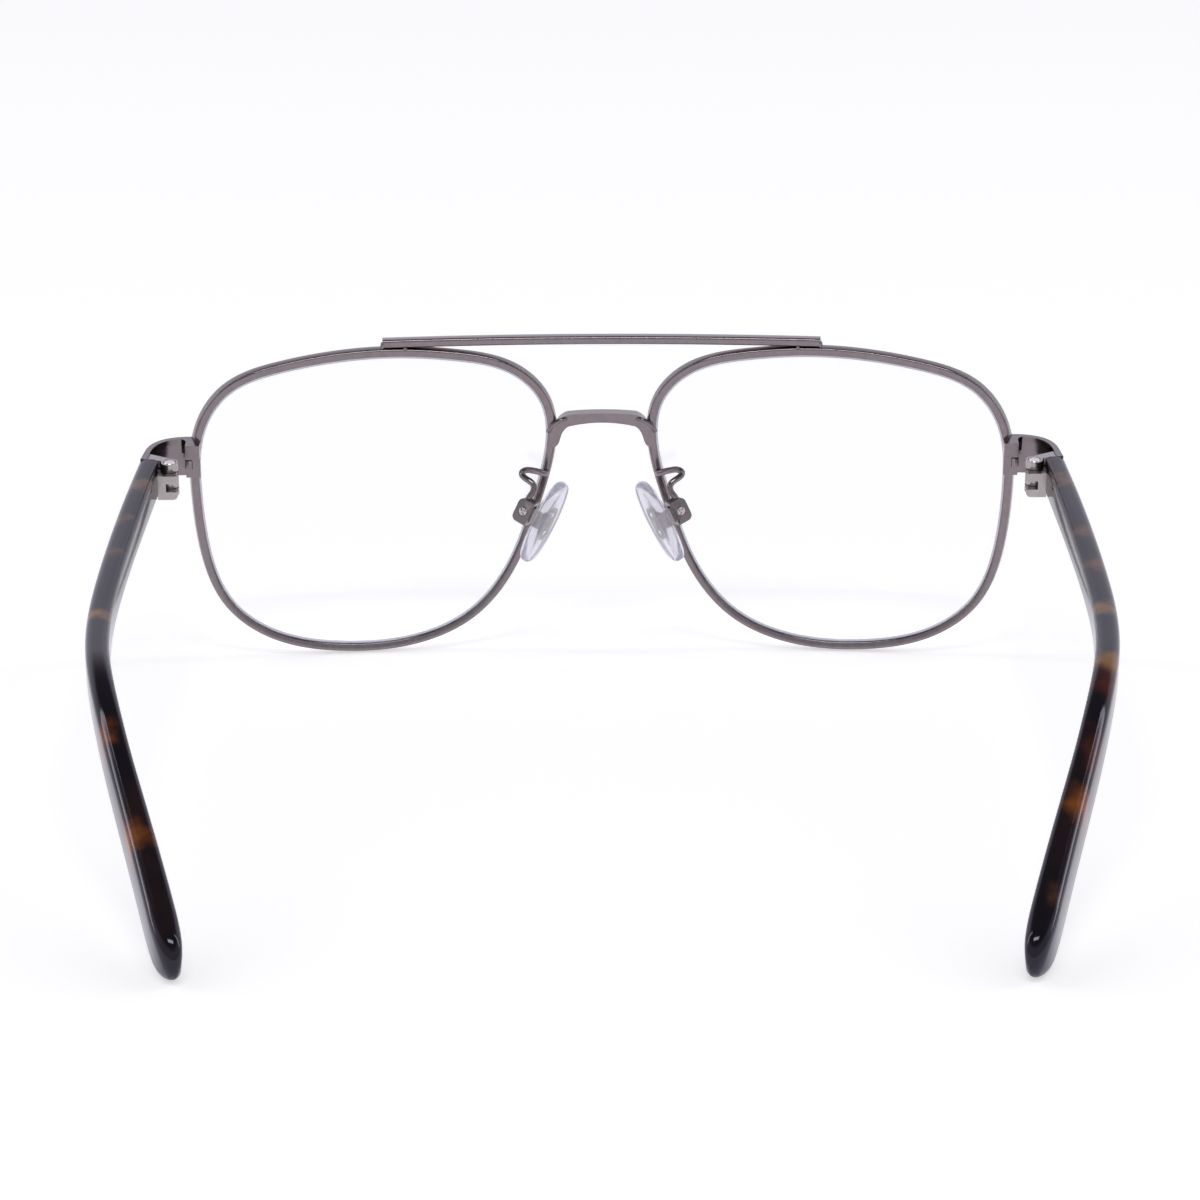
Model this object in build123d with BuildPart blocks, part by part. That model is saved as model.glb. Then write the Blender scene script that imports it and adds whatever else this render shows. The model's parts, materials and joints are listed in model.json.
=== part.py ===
from build123d import *
import os
from math import cos, radians, sin, sqrt, tan

# Double bridge glasses: a metal front with two eyewires, a top bar and a lower bridge,
# screw-in nose pads, four-knuckle screw hinges and cellulose acetate temples.
# Millimetres. +Z is up, +Y is forward (the way the wearer looks), +X is the wearer's right.
# The glasses stand on a table with the temples open, on both rims and both temple tips.
# The right half is modelled, and the left half is its mirror image.

os.makedirs("parts", exist_ok=True)

# How the lenses are set
eye_width = 57.2
eye_height = 49.2
lens_spacing = 73.8
front_tilt = 3.0
lens_wrap = 4.0
base_radius = 130.0

# Eyewire
rim_wall = 1.3
rim_depth = 1.85
rim_corner = 0.3
groove_width = 1.2
groove_depth = 0.4
rim_split = 0.3

# Lens
lens_thickness = 1.3
lens_clearance = 0.06
bevel_flat = 0.3

# Top bar
bar_short = 2.0
bar_height = 1.35
bar_depth = 2.1
bar_bow = 1.3
bar_arch = 0.15
bar_corner = 0.35
bar_seat = 0.12

# Lower bridge
bridge_rise = 14.6
foot_bite = 0.2
bridge_height = 1.55
bridge_depth = 2.3
bridge_arch = 0.25
under_arch = 0.65
foot_width = 3.0
foot_height = 5.5
foot_proud = 0.3

# Hinge axis: its place behind the split of the rim, and the slope of the temple line
hinge_out = 3.15
hinge_back = 8.7
hinge_drop = 1.21
temple_slope = 5.0

# Endpiece strap and closing block
strap_wall = 0.95
strap_lap = 0.33
strap_height = 5.9
strap_flare = 1.0
strap_reach = 7.5
joint_ahead = 0.68
block_width = 2.3
block_depth = 2.1
block_proud = 0.55
block_seat = 0.12
block_fillet = 1.3
lower_setback = 0.5
lower_drop = 2.7
lower_relief = 0.3
seam_gap = 0.2
closing_screw_radius = 0.4
closing_head_radius = 0.6
closing_head_height = 0.5
closing_wall = 0.15

# Hinge
knuckle_radius = 1.35
knuckle_height = 1.3
knuckle_gap = 0.06
knuckle_clearance = 0.12
leaf_near = 0.85
leaf_ahead = 1.9
leaf_depth = 2.6
leaf_reach = 1.85
leaf_side_wall = 0.38
leaf_front = 0.3
leaf_corner = 0.8
window_side = 0.5
hinge_screw_radius = 0.6
hinge_head_radius = 0.95
hinge_head_height = 0.5
slot_width = 0.3
slot_depth = 0.25
running_clearance = 0.04

# Temple
temple_thickness = 3.7
temple_height = 5.9
temple_length = 128.0
temple_straight = 69.6
temple_bend_radius = 40.0
temple_bend = 23.9
temple_sweep = 10.0
temple_front_offset = 3.25
temple_corner = 0.75
joint_gap = 0.08
tip_rounding = 4.5
core_thickness = 1.1
core_height = 2.0
pocket_clearance = 0.05

# Nose pads
pad_aside = 0.18
pad_behind = 7.6
pad_below = 5.64
pad_lean = 24.5
pad_splay = 25.0
pad_length = 14.5
pad_width = 8.4
pad_thickness = 2.2
pad_end_radius = 3.4
pad_corner = 0.75
ring_length = 5.8
ring_width = 3.2
ring_wall = 0.7
ring_plate = 0.7
tab_length = 2.4
tab_thickness = 0.8
tab_end = 0.6
pad_screw_radius = 0.5
pad_head_radius = 0.72
pad_head_height = 0.3
pad_head_proud = 0.1
box_length = 4.0
box_width = 2.1
box_depth = 2.7
box_wall = 0.5
box_round = 0.9
box_slot = 1.0
box_distance = 3.7
arm_radius = 0.52
arm_reach = 3.8
arm_rise = 1.36

# One overrun for every cut
overrun = 1.0

# The eyewire's centre line, from the split at the temple side over the top, as shares of
# half the eye width and half the eye height
rim_shares = [
    (0.996, 0.361), (0.951, 0.573), (0.818, 0.780), (0.497, 0.923), (-0.154, 1.000),
    (-0.483, 0.976), (-0.818, 0.870), (-0.972, 0.675), (-0.997, 0.313), (-0.923, -0.020),
    (-0.780, -0.455), (-0.538, -0.797), (-0.245, -0.955), (0.196, -0.996), (0.591, -0.890),
    (0.829, -0.671), (0.969, -0.224),
]
# A bridge foot, from the knee (0) outward (1) and from its lower end (0) to the bridge top (1)
foot_outer_shares = [(0.42, 0.836), (0.70, 0.664), (0.89, 0.518), (1.00, 0.410)]
foot_inner_shares = [(0.69, 0.000), (0.55, 0.082), (0.41, 0.300), (0.25, 0.482)]
# The strap's outside, from the rim (0) to the temple joint (1), and its distance ahead
strap_shares = [(0.0, 1.0), (0.367, 0.964), (0.687, 0.819), (0.867, 0.595), (0.947, 0.315), (1.0, 0.0)]
# Temple stations: share of the length, then shares of the sweep, the height and the thickness.
# The tip is rounded behind the last but one, and the last only leads the outlines past it.
temple_shares = [
    (0.000, 0.000, 1.00, 0.92), (0.094, 0.085, 0.98, 0.98), (0.205, 0.168, 0.95, 1.00),
    (0.330, 0.232, 0.92, 0.99), (0.440, 0.240, 0.95, 0.97), (0.535, 0.150, 1.03, 0.97),
    (0.630, -0.050, 1.12, 0.99), (0.725, -0.340, 1.19, 1.02), (0.820, -0.680, 1.25, 1.08),
    (0.905, -0.978, 1.28, 1.13), (0.965, -1.180, 1.28, 1.14), (1.060, -1.480, 1.28, 1.05),
]
core_stations = (1, 9)
# The pad arm from the rim to the box, as shares of its reach, its way back and its rise
arm_shares = [
    (0.19, 0.16, 0.31), (0.56, 0.32, 0.80), (0.88, 0.46, 1.00), (1.00, 0.60, 0.84),
    (0.87, 0.74, 0.50), (0.64, 0.84, 0.19), (0.49, 0.91, -0.27), (0.53, 0.96, -0.94),
]
arm_root_shares = (-0.975, 0.175)
arm_seat_share = 0.25
arm_steps = 3

# The lens frame: x outward, y up, z to the back, with its origin at the front of the lens
tilt = radians(front_tilt)
wrap = radians(lens_wrap)
half_width = eye_width / 2
half_height = eye_height / 2
lens_normal = Vector(sin(wrap), cos(wrap) * cos(tilt), -cos(wrap) * sin(tilt))
lens_right = lens_normal.cross(Vector(0, 0, 1)).normalized()
lens_level = (eye_height + rim_wall) / 2 * cos(tilt) + rim_depth / 2 * sin(tilt)
lens_plane = Plane(
    origin=(lens_spacing / 2, lens_level * tan(tilt) + rim_wall, lens_level),
    x_dir=lens_right,
    z_dir=-lens_normal,
)
sphere_centre = lens_plane.from_local_coords(Vector(0, 0, base_radius))
sphere_plane = Plane(origin=sphere_centre, x_dir=lens_right, z_dir=lens_plane.y_dir)


def on_sphere(across, up, radius=base_radius):
    """Return the point of a sphere about the lens centre that lies behind a place of the lens."""
    sag = base_radius - sqrt(base_radius**2 - across**2 - up**2)
    point = lens_plane.from_local_coords(Vector(across, up, sag))
    return sphere_centre + (point - sphere_centre) * (radius / base_radius)


def rim_curve(radius):
    """Return the closed centre line of the eyewire on a sphere about the lens centre."""
    points = [on_sphere(s * half_width, t * half_height, radius) for s, t in rim_shares]
    return Edge.make_spline(points, periodic=True)


def turned_left(direction):
    """Return a direction of the XY plane turned a quarter to the left."""
    return Vector(-direction.Y, direction.X, 0)


# Eyewire: a grooved bar bent round the lens and split at the closing block
closed_rim = rim_curve(base_radius)
closed_guide = rim_curve(base_radius + rim_depth)
half_split = rim_split / 2 / closed_rim.length
rim_path = closed_rim.trim(half_split, 1 - half_split)


def rim_plane(path):
    """Return the plane of the eyewire's section at the start of a path, x towards the lens."""
    inward = (sphere_centre - path @ 0).cross(path % 0)
    return Plane(origin=path @ 0, x_dir=inward, z_dir=path % 0)


with BuildPart() as right_rim:
    with BuildSketch(rim_plane(rim_path)) as rim_section:
        Rectangle(rim_wall, rim_depth)
        chamfer(rim_section.vertices().sort_by(Axis.X)[:2], length=rim_corner)
        with BuildLine():
            Polyline(
                (rim_wall / 2, groove_width / 2),
                (rim_wall / 2 - groove_depth, groove_width / 2 - groove_depth),
                (rim_wall / 2 - groove_depth, groove_depth - groove_width / 2),
                (rim_wall / 2, -groove_width / 2),
                close=True,
            )
        make_face(mode=Mode.SUBTRACT)
    sweep(path=rim_path, binormal=closed_guide.trim(half_split, 1 - half_split))

# The same ring with no groove or split, which shapes the seats of the pieces joined to it
with BuildPart() as rim_seat:
    with BuildSketch(rim_plane(closed_rim)) as seat_section:
        Rectangle(rim_wall, rim_depth)
        chamfer(seat_section.vertices().sort_by(Axis.X)[:2], length=rim_corner)
    sweep(path=closed_rim, binormal=closed_guide)

# Lens: a blank of even thickness, cut to the groove and bevelled all round
lens_inset = rim_wall / 2 - groove_depth + lens_clearance
lens_steps = 2 * len(rim_shares)


def lens_outline(level):
    """Return points of the lens edge, projected from the sphere centre on a level of the lens."""
    points = []
    for step in range(lens_steps):
        place = closed_rim @ (step / lens_steps)
        inward = (sphere_centre - place).cross(closed_rim % (step / lens_steps)).normalized()
        edge = lens_plane.to_local_coords(place + inward * lens_inset)
        scale = (base_radius - level) / (base_radius - edge.Z)
        points.append((edge.X * scale, edge.Y * scale))
    return points


deepest = max(lens_plane.to_local_coords(closed_rim @ (step / lens_steps)).Z for step in range(lens_steps))

with BuildPart(sphere_plane) as right_lens:
    for level in (-lens_thickness, deepest + lens_thickness):
        with BuildSketch(lens_plane.offset(level)):
            with BuildLine():
                Spline(*lens_outline(level), periodic=True)
            make_face()
    loft(ruled=True)
    Sphere(base_radius + lens_thickness / 2, mode=Mode.INTERSECT)
    Sphere(base_radius - lens_thickness / 2, mode=Mode.SUBTRACT)
    chamfer(right_lens.edges(), length=(lens_thickness - bevel_flat) / 2)

# Top bar: a bowed bar soldered to the tops of both rims
bar_half_length = lens_spacing / 2 - bar_short
bar_place = on_sphere(-bar_short, half_height)
bar_level = bar_place.Z + (rim_wall + bar_height) / 2 - bar_seat

with BuildPart() as top_bar:
    with BuildLine() as bar_line:
        ThreePointArc(
            (-bar_half_length, bar_place.Y, bar_level),
            (0, bar_place.Y + bar_bow, bar_level + bar_arch),
            (bar_half_length, bar_place.Y, bar_level),
        )
    with BuildSketch(Plane(origin=bar_line.line @ 0, x_dir=(0, 0, 1), z_dir=bar_line.line % 0)):
        Rectangle(bar_height, bar_depth)
    sweep(path=bar_line.line)
    chamfer(top_bar.faces().sort_by(Axis.Z)[-1].edges(), bar_corner)
    add(rim_seat.part, mode=Mode.SUBTRACT)
    mirror(rim_seat.part, about=Plane.YZ, mode=Mode.SUBTRACT)

# Lower bridge: an arch whose feet lie on the nasal sides of the rims
bridge_top = lens_level + bridge_rise
bridge_under = bridge_top - bridge_height
foot_place = on_sphere(-half_width, bridge_rise)
bridge_back = foot_place.Y - rim_depth / 2
foot_back = bridge_back - foot_proud
foot_reach = foot_place.X + foot_bite
bridge_knee = foot_reach - foot_width
foot_bottom = bridge_top - foot_height
outer_foot = [(bridge_knee + s * foot_width, foot_bottom + t * foot_height) for s, t in foot_outer_shares]
inner_foot = [(bridge_knee + s * foot_width, foot_bottom + t * foot_height) for s, t in foot_inner_shares]

with BuildPart() as bridge:
    with BuildSketch(Plane.XZ.offset(-foot_back)):
        with BuildLine():
            ThreePointArc(
                (0, bridge_top),
                (bridge_knee / 2, bridge_top - bridge_arch / 4),
                (bridge_knee, bridge_top - bridge_arch),
            )
            Spline((bridge_knee, bridge_top - bridge_arch), *outer_foot)
            Polyline(outer_foot[-1], (foot_reach, foot_bottom), inner_foot[0])
            Spline(*inner_foot, (bridge_knee, bridge_under - under_arch))
            ThreePointArc(
                (bridge_knee, bridge_under - under_arch),
                (bridge_knee / 2, bridge_under - under_arch / 4),
                (0, bridge_under),
            )
            mirror(about=Plane.YZ)
        make_face()
    extrude(amount=-bridge_depth - foot_proud)
    with BuildSketch(Plane.XY.offset(foot_bottom - overrun)):
        with BuildLine():
            Polyline(
                (-bridge_knee, bridge_back),
                (-foot_reach, foot_back),
                (-foot_reach, foot_back - overrun),
                (foot_reach, foot_back - overrun),
                (foot_reach, foot_back),
                (bridge_knee, bridge_back),
                close=True,
            )
        make_face()
    extrude(amount=foot_height + 2 * overrun, mode=Mode.SUBTRACT)
    add(rim_seat.part, mode=Mode.SUBTRACT)
    mirror(rim_seat.part, about=Plane.YZ, mode=Mode.SUBTRACT)

# Hinge frame: x outward, y forward along the temple line, z up the hinge axis
slope = radians(temple_slope)
seam_point = closed_rim @ 0
hinge_plane = Plane(
    origin=seam_point + Vector(hinge_out, -hinge_back, -hinge_drop),
    x_dir=(1, 0, 0),
    z_dir=(0, -sin(slope), cos(slope)),
)
side_plane = Plane(origin=hinge_plane.origin, x_dir=hinge_plane.y_dir, z_dir=(1, 0, 0))
rim_place = hinge_plane.to_local_coords(seam_point)
seam_level = rim_place.Z
hinge_height = 4 * knuckle_height + 3 * knuckle_gap


def knuckle_base(count):
    """Return the height of a knuckle's lower face, counted from the top one, 0."""
    return hinge_height / 2 - (count + 1) * knuckle_height - count * knuckle_gap


# Endpiece: a forged strap from the rim round to the temple, with the upper closing half
strap_start = rim_place.X + strap_lap
strap_front = rim_place.Y + rim_depth / 2
strap_top = strap_height / 2
strap_outer = [
    (strap_start + s * strap_reach, joint_ahead + t * (strap_front - joint_ahead))
    for s, t in strap_shares
]
block_outside = rim_place.X + rim_wall / 2 + block_proud
block_inside = block_outside - block_width
rim_back = rim_place.Y - rim_depth / 2
block_back = rim_back - block_depth
block_front = strap_front - strap_wall / 2
root_back = strap_front - strap_wall - block_fillet

with BuildPart() as right_endpiece:
    with BuildSketch(hinge_plane.offset(-strap_top - strap_flare)):
        with BuildLine():
            strap_line = Spline(*strap_outer)
            strap_inner = []
            for step in range(len(strap_outer)):
                along = step / (len(strap_outer) - 1)
                strap_inner.append((strap_line @ along) - turned_left(strap_line % along) * strap_wall)
            inner_line = Spline(*strap_inner)
            Line(strap_line @ 0, inner_line @ 0)
            Line(strap_line @ 1, inner_line @ 1)
        make_face()
    extrude(amount=strap_height + strap_flare)
    with BuildSketch(side_plane):
        with BuildLine():
            Polyline(
                (joint_ahead, -strap_top),
                (root_back, -strap_top),
                (strap_front + overrun, -strap_top - strap_flare),
                (strap_front + overrun, -strap_top - strap_flare - overrun),
                (joint_ahead - overrun, -strap_top - strap_flare - overrun),
                (joint_ahead - overrun, strap_top + overrun),
                (joint_ahead, strap_top + overrun),
                close=True,
            )
        make_face()
    extrude(amount=strap_reach + overrun, both=True, mode=Mode.SUBTRACT)
    with BuildSketch(hinge_plane.offset(seam_level + seam_gap / 2)):
        with BuildLine():
            Polyline(
                (block_outside + block_fillet, block_front),
                (rim_place.X, block_front),
                (rim_place.X, rim_place.Y),
                (block_inside, rim_back + block_seat),
                (block_inside, block_back),
                (block_outside, block_back),
                (block_outside, root_back),
            )
            ThreePointArc(
                (block_outside, root_back),
                (
                    block_outside + block_fillet * (1 - sin(radians(45))),
                    root_back + block_fillet * sin(radians(45)),
                ),
                (block_outside + block_fillet, root_back + block_fillet),
            )
            Line((block_outside + block_fillet, root_back + block_fillet), (block_outside + block_fillet, block_front))
        make_face()
    extrude(amount=strap_top - seam_level - seam_gap / 2)
    add(rim_seat.part, mode=Mode.SUBTRACT)

# Lower closing half: the closing screw pulls it up and shuts the rim on the lens
screw_x = (block_inside + block_outside) / 2
screw_y = block_back + lower_setback + closing_wall + closing_screw_radius

with BuildPart() as right_closing_block:
    with BuildSketch(hinge_plane.offset(-lower_drop)):
        with BuildLine():
            Polyline(
                (block_inside, block_back + lower_setback),
                (block_outside, block_back + lower_setback),
                (block_outside, strap_front - strap_wall),
                (rim_place.X, strap_front - strap_wall),
                (rim_place.X, rim_place.Y),
                (block_inside, rim_back - lower_relief),
                close=True,
            )
        make_face()
    extrude(amount=lower_drop + seam_level - seam_gap / 2)
    with BuildSketch(hinge_plane.offset(-lower_drop)):
        with Locations((screw_x, screw_y)):
            Circle(closing_screw_radius + running_clearance)
    extrude(amount=lower_drop + seam_level, mode=Mode.SUBTRACT)
    with BuildSketch(hinge_plane.offset(-lower_drop)):
        with Locations((screw_x, screw_y)):
            Circle(closing_head_radius + running_clearance)
    extrude(amount=closing_head_height, mode=Mode.SUBTRACT)
    add(rim_seat.part, mode=Mode.SUBTRACT)
    add(right_endpiece.part, mode=Mode.SUBTRACT)

with BuildPart() as right_closing_screw:
    with BuildSketch(hinge_plane.offset(-lower_drop)):
        with Locations((screw_x, screw_y)):
            Circle(closing_head_radius)
    extrude(amount=closing_head_height)
    with BuildSketch(hinge_plane.offset(-lower_drop)):
        with Locations((screw_x, screw_y)):
            Circle(closing_screw_radius)
    extrude(amount=lower_drop + seam_level + seam_gap / 2)
    with BuildSketch(hinge_plane.offset(-lower_drop)):
        with Locations((screw_x, screw_y)):
            Rectangle(2 * closing_head_radius + overrun, slot_width)
    extrude(amount=slot_depth, mode=Mode.SUBTRACT)

# Front half of the hinge: a leaf in the strap's corner that carries knuckles 0 and 2
clear_radius = knuckle_radius + knuckle_clearance
bore_radius = hinge_screw_radius + running_clearance

with BuildPart() as right_front_hinge:
    with BuildSketch(hinge_plane.offset(-hinge_height / 2)):
        with BuildLine():
            Polyline(
                (leaf_near, joint_ahead),
                (leaf_near, leaf_ahead),
                (strap_start + strap_reach - strap_wall / 2, leaf_ahead + leaf_reach),
                (strap_start + strap_reach - strap_wall / 2, joint_ahead),
                close=True,
            )
        make_face()
        Circle(clear_radius, mode=Mode.SUBTRACT)
    extrude(amount=hinge_height)
    for count in (0, 2):
        with BuildSketch(hinge_plane.offset(knuckle_base(count))):
            Circle(knuckle_radius)
            with BuildLine():
                Polyline(
                    (0, 0),
                    (0, knuckle_radius),
                    (leaf_near, leaf_ahead),
                    (clear_radius + knuckle_clearance, joint_ahead),
                    (knuckle_radius, leaf_front),
                    close=True,
                )
            make_face()
        extrude(amount=knuckle_height)
    with BuildSketch(hinge_plane.offset(-hinge_height / 2)):
        Circle(bore_radius)
    extrude(amount=hinge_height, mode=Mode.SUBTRACT)
    with BuildSketch(hinge_plane.offset(hinge_height / 2 - hinge_head_height)):
        Circle(hinge_head_radius + running_clearance)
    extrude(amount=hinge_head_height, mode=Mode.SUBTRACT)
    add(right_endpiece.part, mode=Mode.SUBTRACT)

# Temple half of the hinge: a windowed leaf that carries knuckles 1 and 3
leaf_top = knuckle_base(1) + knuckle_height

with BuildPart() as right_temple_hinge:
    with BuildSketch(Plane(origin=hinge_plane.origin, x_dir=(1, 0, 0), z_dir=-hinge_plane.y_dir)):
        with BuildLine():
            Polyline(
                (-knuckle_radius, -hinge_height / 2),
                (leaf_reach, -hinge_height / 2),
                (leaf_reach, leaf_top),
                (-knuckle_radius, leaf_top),
                close=True,
            )
        leaf_face = make_face()
        fillet(leaf_face.vertices().sort_by(Axis.X)[:2].sort_by(Axis.Y)[0], leaf_corner)
    extrude(amount=leaf_depth)
    with BuildSketch(hinge_plane.offset(-hinge_height / 2)):
        with BuildLine():
            Polyline(
                (leaf_reach - leaf_side_wall, 0),
                (leaf_reach, 0),
                (leaf_reach, leaf_front),
                (leaf_reach - leaf_side_wall, leaf_front),
                close=True,
            )
        make_face()
    extrude(amount=leaf_top + hinge_height / 2)
    for count in (1, 3):
        with BuildSketch(hinge_plane.offset(knuckle_base(count))):
            Circle(knuckle_radius)
        extrude(amount=knuckle_height)
    with BuildSketch(hinge_plane.offset(knuckle_base(2) - knuckle_gap)):
        Circle(clear_radius)
        with BuildLine():
            Polyline(
                (window_side, 0),
                (window_side, -leaf_depth - overrun),
                (-knuckle_radius - overrun, -leaf_depth - overrun),
                (-knuckle_radius - overrun, 0),
                close=True,
            )
        make_face()
    extrude(amount=knuckle_height + 2 * knuckle_gap, mode=Mode.SUBTRACT)
    with BuildSketch(hinge_plane.offset(-hinge_height / 2)):
        Circle(bore_radius)
    extrude(amount=hinge_height, mode=Mode.SUBTRACT)

with BuildPart() as right_hinge_screw:
    with BuildSketch(hinge_plane.offset(-hinge_height / 2)):
        Circle(hinge_screw_radius)
    extrude(amount=hinge_height)
    with BuildSketch(hinge_plane.offset(hinge_height / 2 - hinge_head_height)):
        Circle(hinge_head_radius)
    extrude(amount=hinge_head_height)
    with BuildSketch(hinge_plane.offset(hinge_height / 2)):
        Rectangle(slot_width, 2 * hinge_head_radius)
    extrude(amount=-slot_depth, mode=Mode.SUBTRACT)


# Temple: its edges in the side view and the plan view, both in the hinge frame
bend = radians(temple_bend)
bend_end = temple_straight + temple_bend_radius * bend
temple_front = joint_ahead - joint_gap


def temple_edge(along, inset):
    """Return the side view place at a distance along the temple's top edge, inset below it."""
    straight = min(along, temple_straight)
    turn = min(max(along - temple_straight, 0) / temple_bend_radius, bend)
    tail = max(along - bend_end, 0)
    back = straight + temple_bend_radius * sin(turn) + tail * cos(turn)
    down = temple_bend_radius * (1 - cos(turn)) + tail * sin(turn)
    return temple_front - back + inset * sin(turn), temple_height / 2 - down - inset * cos(turn)


lower_edge = []
outer_edge = []
inner_edge = []
centre_line = []
for along_share, side_share, height_share, thickness_share in temple_shares:
    along = along_share * temple_length
    half_thick = thickness_share * temple_thickness / 2
    middle = temple_edge(along, height_share * temple_height / 2)
    side = temple_front_offset + side_share * temple_sweep
    lower_edge.append(temple_edge(along, height_share * temple_height))
    outer_edge.append((side + half_thick, middle[0]))
    inner_edge.append((side - half_thick, middle[0]))
    centre_line.append(Vector(side, *middle))
tip_along = temple_shares[-2][0] * temple_length
tip_height = temple_shares[-2][2] * temple_height

# Core wire: the metal core that stiffens the temple
with BuildPart() as right_core_wire:
    for number in range(core_stations[0], core_stations[1] + 1):
        heading = (centre_line[number + 1] - centre_line[number - 1]).normalized()
        across = heading.cross(Vector(0, 0, 1))
        centre = hinge_plane.from_local_coords(centre_line[number])
        turned = hinge_plane.from_local_coords(centre_line[number] + across) - centre
        along_wire = hinge_plane.from_local_coords(centre_line[number] + heading) - centre
        with BuildSketch(Plane(origin=centre, x_dir=turned, z_dir=along_wire)):
            Rectangle(core_thickness, core_height)
    loft()

# Temple: cellulose acetate, deepest where it bends down behind the ear
with BuildPart() as right_temple:
    with BuildSketch(side_plane.offset(-temple_length / 2)):
        with BuildLine():
            Line(temple_edge(0, 0), temple_edge(temple_straight, 0))
            ThreePointArc(
                temple_edge(temple_straight, 0),
                temple_edge((temple_straight + bend_end) / 2, 0),
                temple_edge(bend_end, 0),
            )
            Line(temple_edge(bend_end, 0), temple_edge(tip_along, 0))
            Spline(
                temple_edge(tip_along, 0),
                temple_edge(tip_along + tip_rounding, tip_height / 2),
                temple_edge(tip_along, tip_height),
                tangents=((-cos(bend), -sin(bend)), (cos(bend), sin(bend))),
            )
            Spline(*lower_edge[:-1])
            Line(temple_edge(0, temple_height), temple_edge(0, 0))
        make_face()
    extrude(amount=temple_length)
    with BuildSketch(hinge_plane.offset(-temple_length / 2)):
        with BuildLine():
            Spline(*outer_edge)
            Spline(*inner_edge)
            Line(outer_edge[0], inner_edge[0])
            Line(outer_edge[-1], inner_edge[-1])
        make_face()
    extrude(amount=temple_length, mode=Mode.INTERSECT)
    front_edges = right_temple.faces().sort_by(Axis.Y)[-1].edges()
    long_edges = right_temple.edges().filter_by(lambda edge: edge.length > temple_height)
    chamfer([edge for edge in long_edges if edge not in front_edges], temple_corner)
    with BuildSketch(hinge_plane.offset(-hinge_height / 2 - pocket_clearance)):
        with BuildLine():
            Polyline(
                (-knuckle_radius, joint_ahead + overrun),
                (-knuckle_radius, -leaf_depth - pocket_clearance),
                (leaf_reach, -leaf_depth - pocket_clearance),
                (leaf_reach, joint_ahead + overrun),
                close=True,
            )
        make_face()
    extrude(amount=hinge_height + 2 * pocket_clearance, mode=Mode.SUBTRACT)
    add(right_core_wire.part, mode=Mode.SUBTRACT)

# The pad arm starts on the back of the rim, and the nose pad is placed from there
arm_root = on_sphere(
    arm_root_shares[0] * half_width, arm_root_shares[1] * half_height, base_radius - rim_depth / 2
)
arm_backward = (sphere_centre - arm_root).normalized()
pad_centre = arm_root + Vector(pad_aside, -pad_behind, -pad_below)

# Nose pad frame: x up the pad, y forward across it, z out of the face that meets the nose
pad_up = Vector(-sin(radians(pad_lean)), 0, cos(radians(pad_lean)))
pad_ahead = Vector(-sin(radians(pad_splay)), cos(radians(pad_splay)), 0)
pad_face = pad_up.cross(pad_ahead).normalized()
pad_plane = Plane(origin=pad_centre, x_dir=pad_up, z_dir=pad_face)
box_plane = Plane(
    origin=pad_plane.from_local_coords(Vector(0, 0, -box_distance)),
    x_dir=pad_up,
    z_dir=-pad_plane.y_dir,
)
half_box = box_width / 2
head_seat = half_box - pad_head_height + pad_head_proud

with BuildPart() as right_pad_core:
    with BuildSketch(pad_plane.offset(-ring_plate / 2)):
        SlotOverall(ring_length, ring_width)
        SlotOverall(ring_length - 2 * ring_wall, ring_width - 2 * ring_wall, mode=Mode.SUBTRACT)
        Rectangle(tab_length, ring_width - ring_wall)
    extrude(amount=ring_plate)
    with BuildSketch(box_plane.offset(-tab_thickness / 2)):
        with BuildLine():
            Polyline(
                (-tab_length / 2, -tab_end),
                (tab_length / 2, -tab_end),
                (tab_length / 2, box_distance),
                (-tab_length / 2, box_distance),
                close=True,
            )
        make_face()
        Circle(pad_screw_radius + running_clearance, mode=Mode.SUBTRACT)
    extrude(amount=tab_thickness)

# Nose pad: an oval of four arcs, with its corners taken off, moulded over its core
pad_top = pad_length / 2
pad_side = pad_width / 2
end_centre = pad_top - pad_end_radius
side_radius = (end_centre**2 + pad_side**2 - pad_end_radius**2) / (2 * (pad_side - pad_end_radius))
centre_gap = side_radius - pad_end_radius
meet_x = end_centre + pad_end_radius * end_centre / centre_gap
meet_y = pad_end_radius * (side_radius - pad_side) / centre_gap

with BuildPart() as right_nose_pad:
    with BuildSketch(pad_plane.offset(-pad_thickness / 2)):
        with BuildLine():
            ThreePointArc((meet_x, meet_y), (0, pad_side), (-meet_x, meet_y))
            ThreePointArc((-meet_x, meet_y), (-pad_top, 0), (-meet_x, -meet_y))
            ThreePointArc((-meet_x, -meet_y), (0, -pad_side), (meet_x, -meet_y))
            ThreePointArc((meet_x, -meet_y), (pad_top, 0), (meet_x, meet_y))
        make_face()
    extrude(amount=pad_thickness)
    chamfer(right_nose_pad.edges(), pad_corner)
    add(right_pad_core.part, mode=Mode.SUBTRACT)

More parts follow.
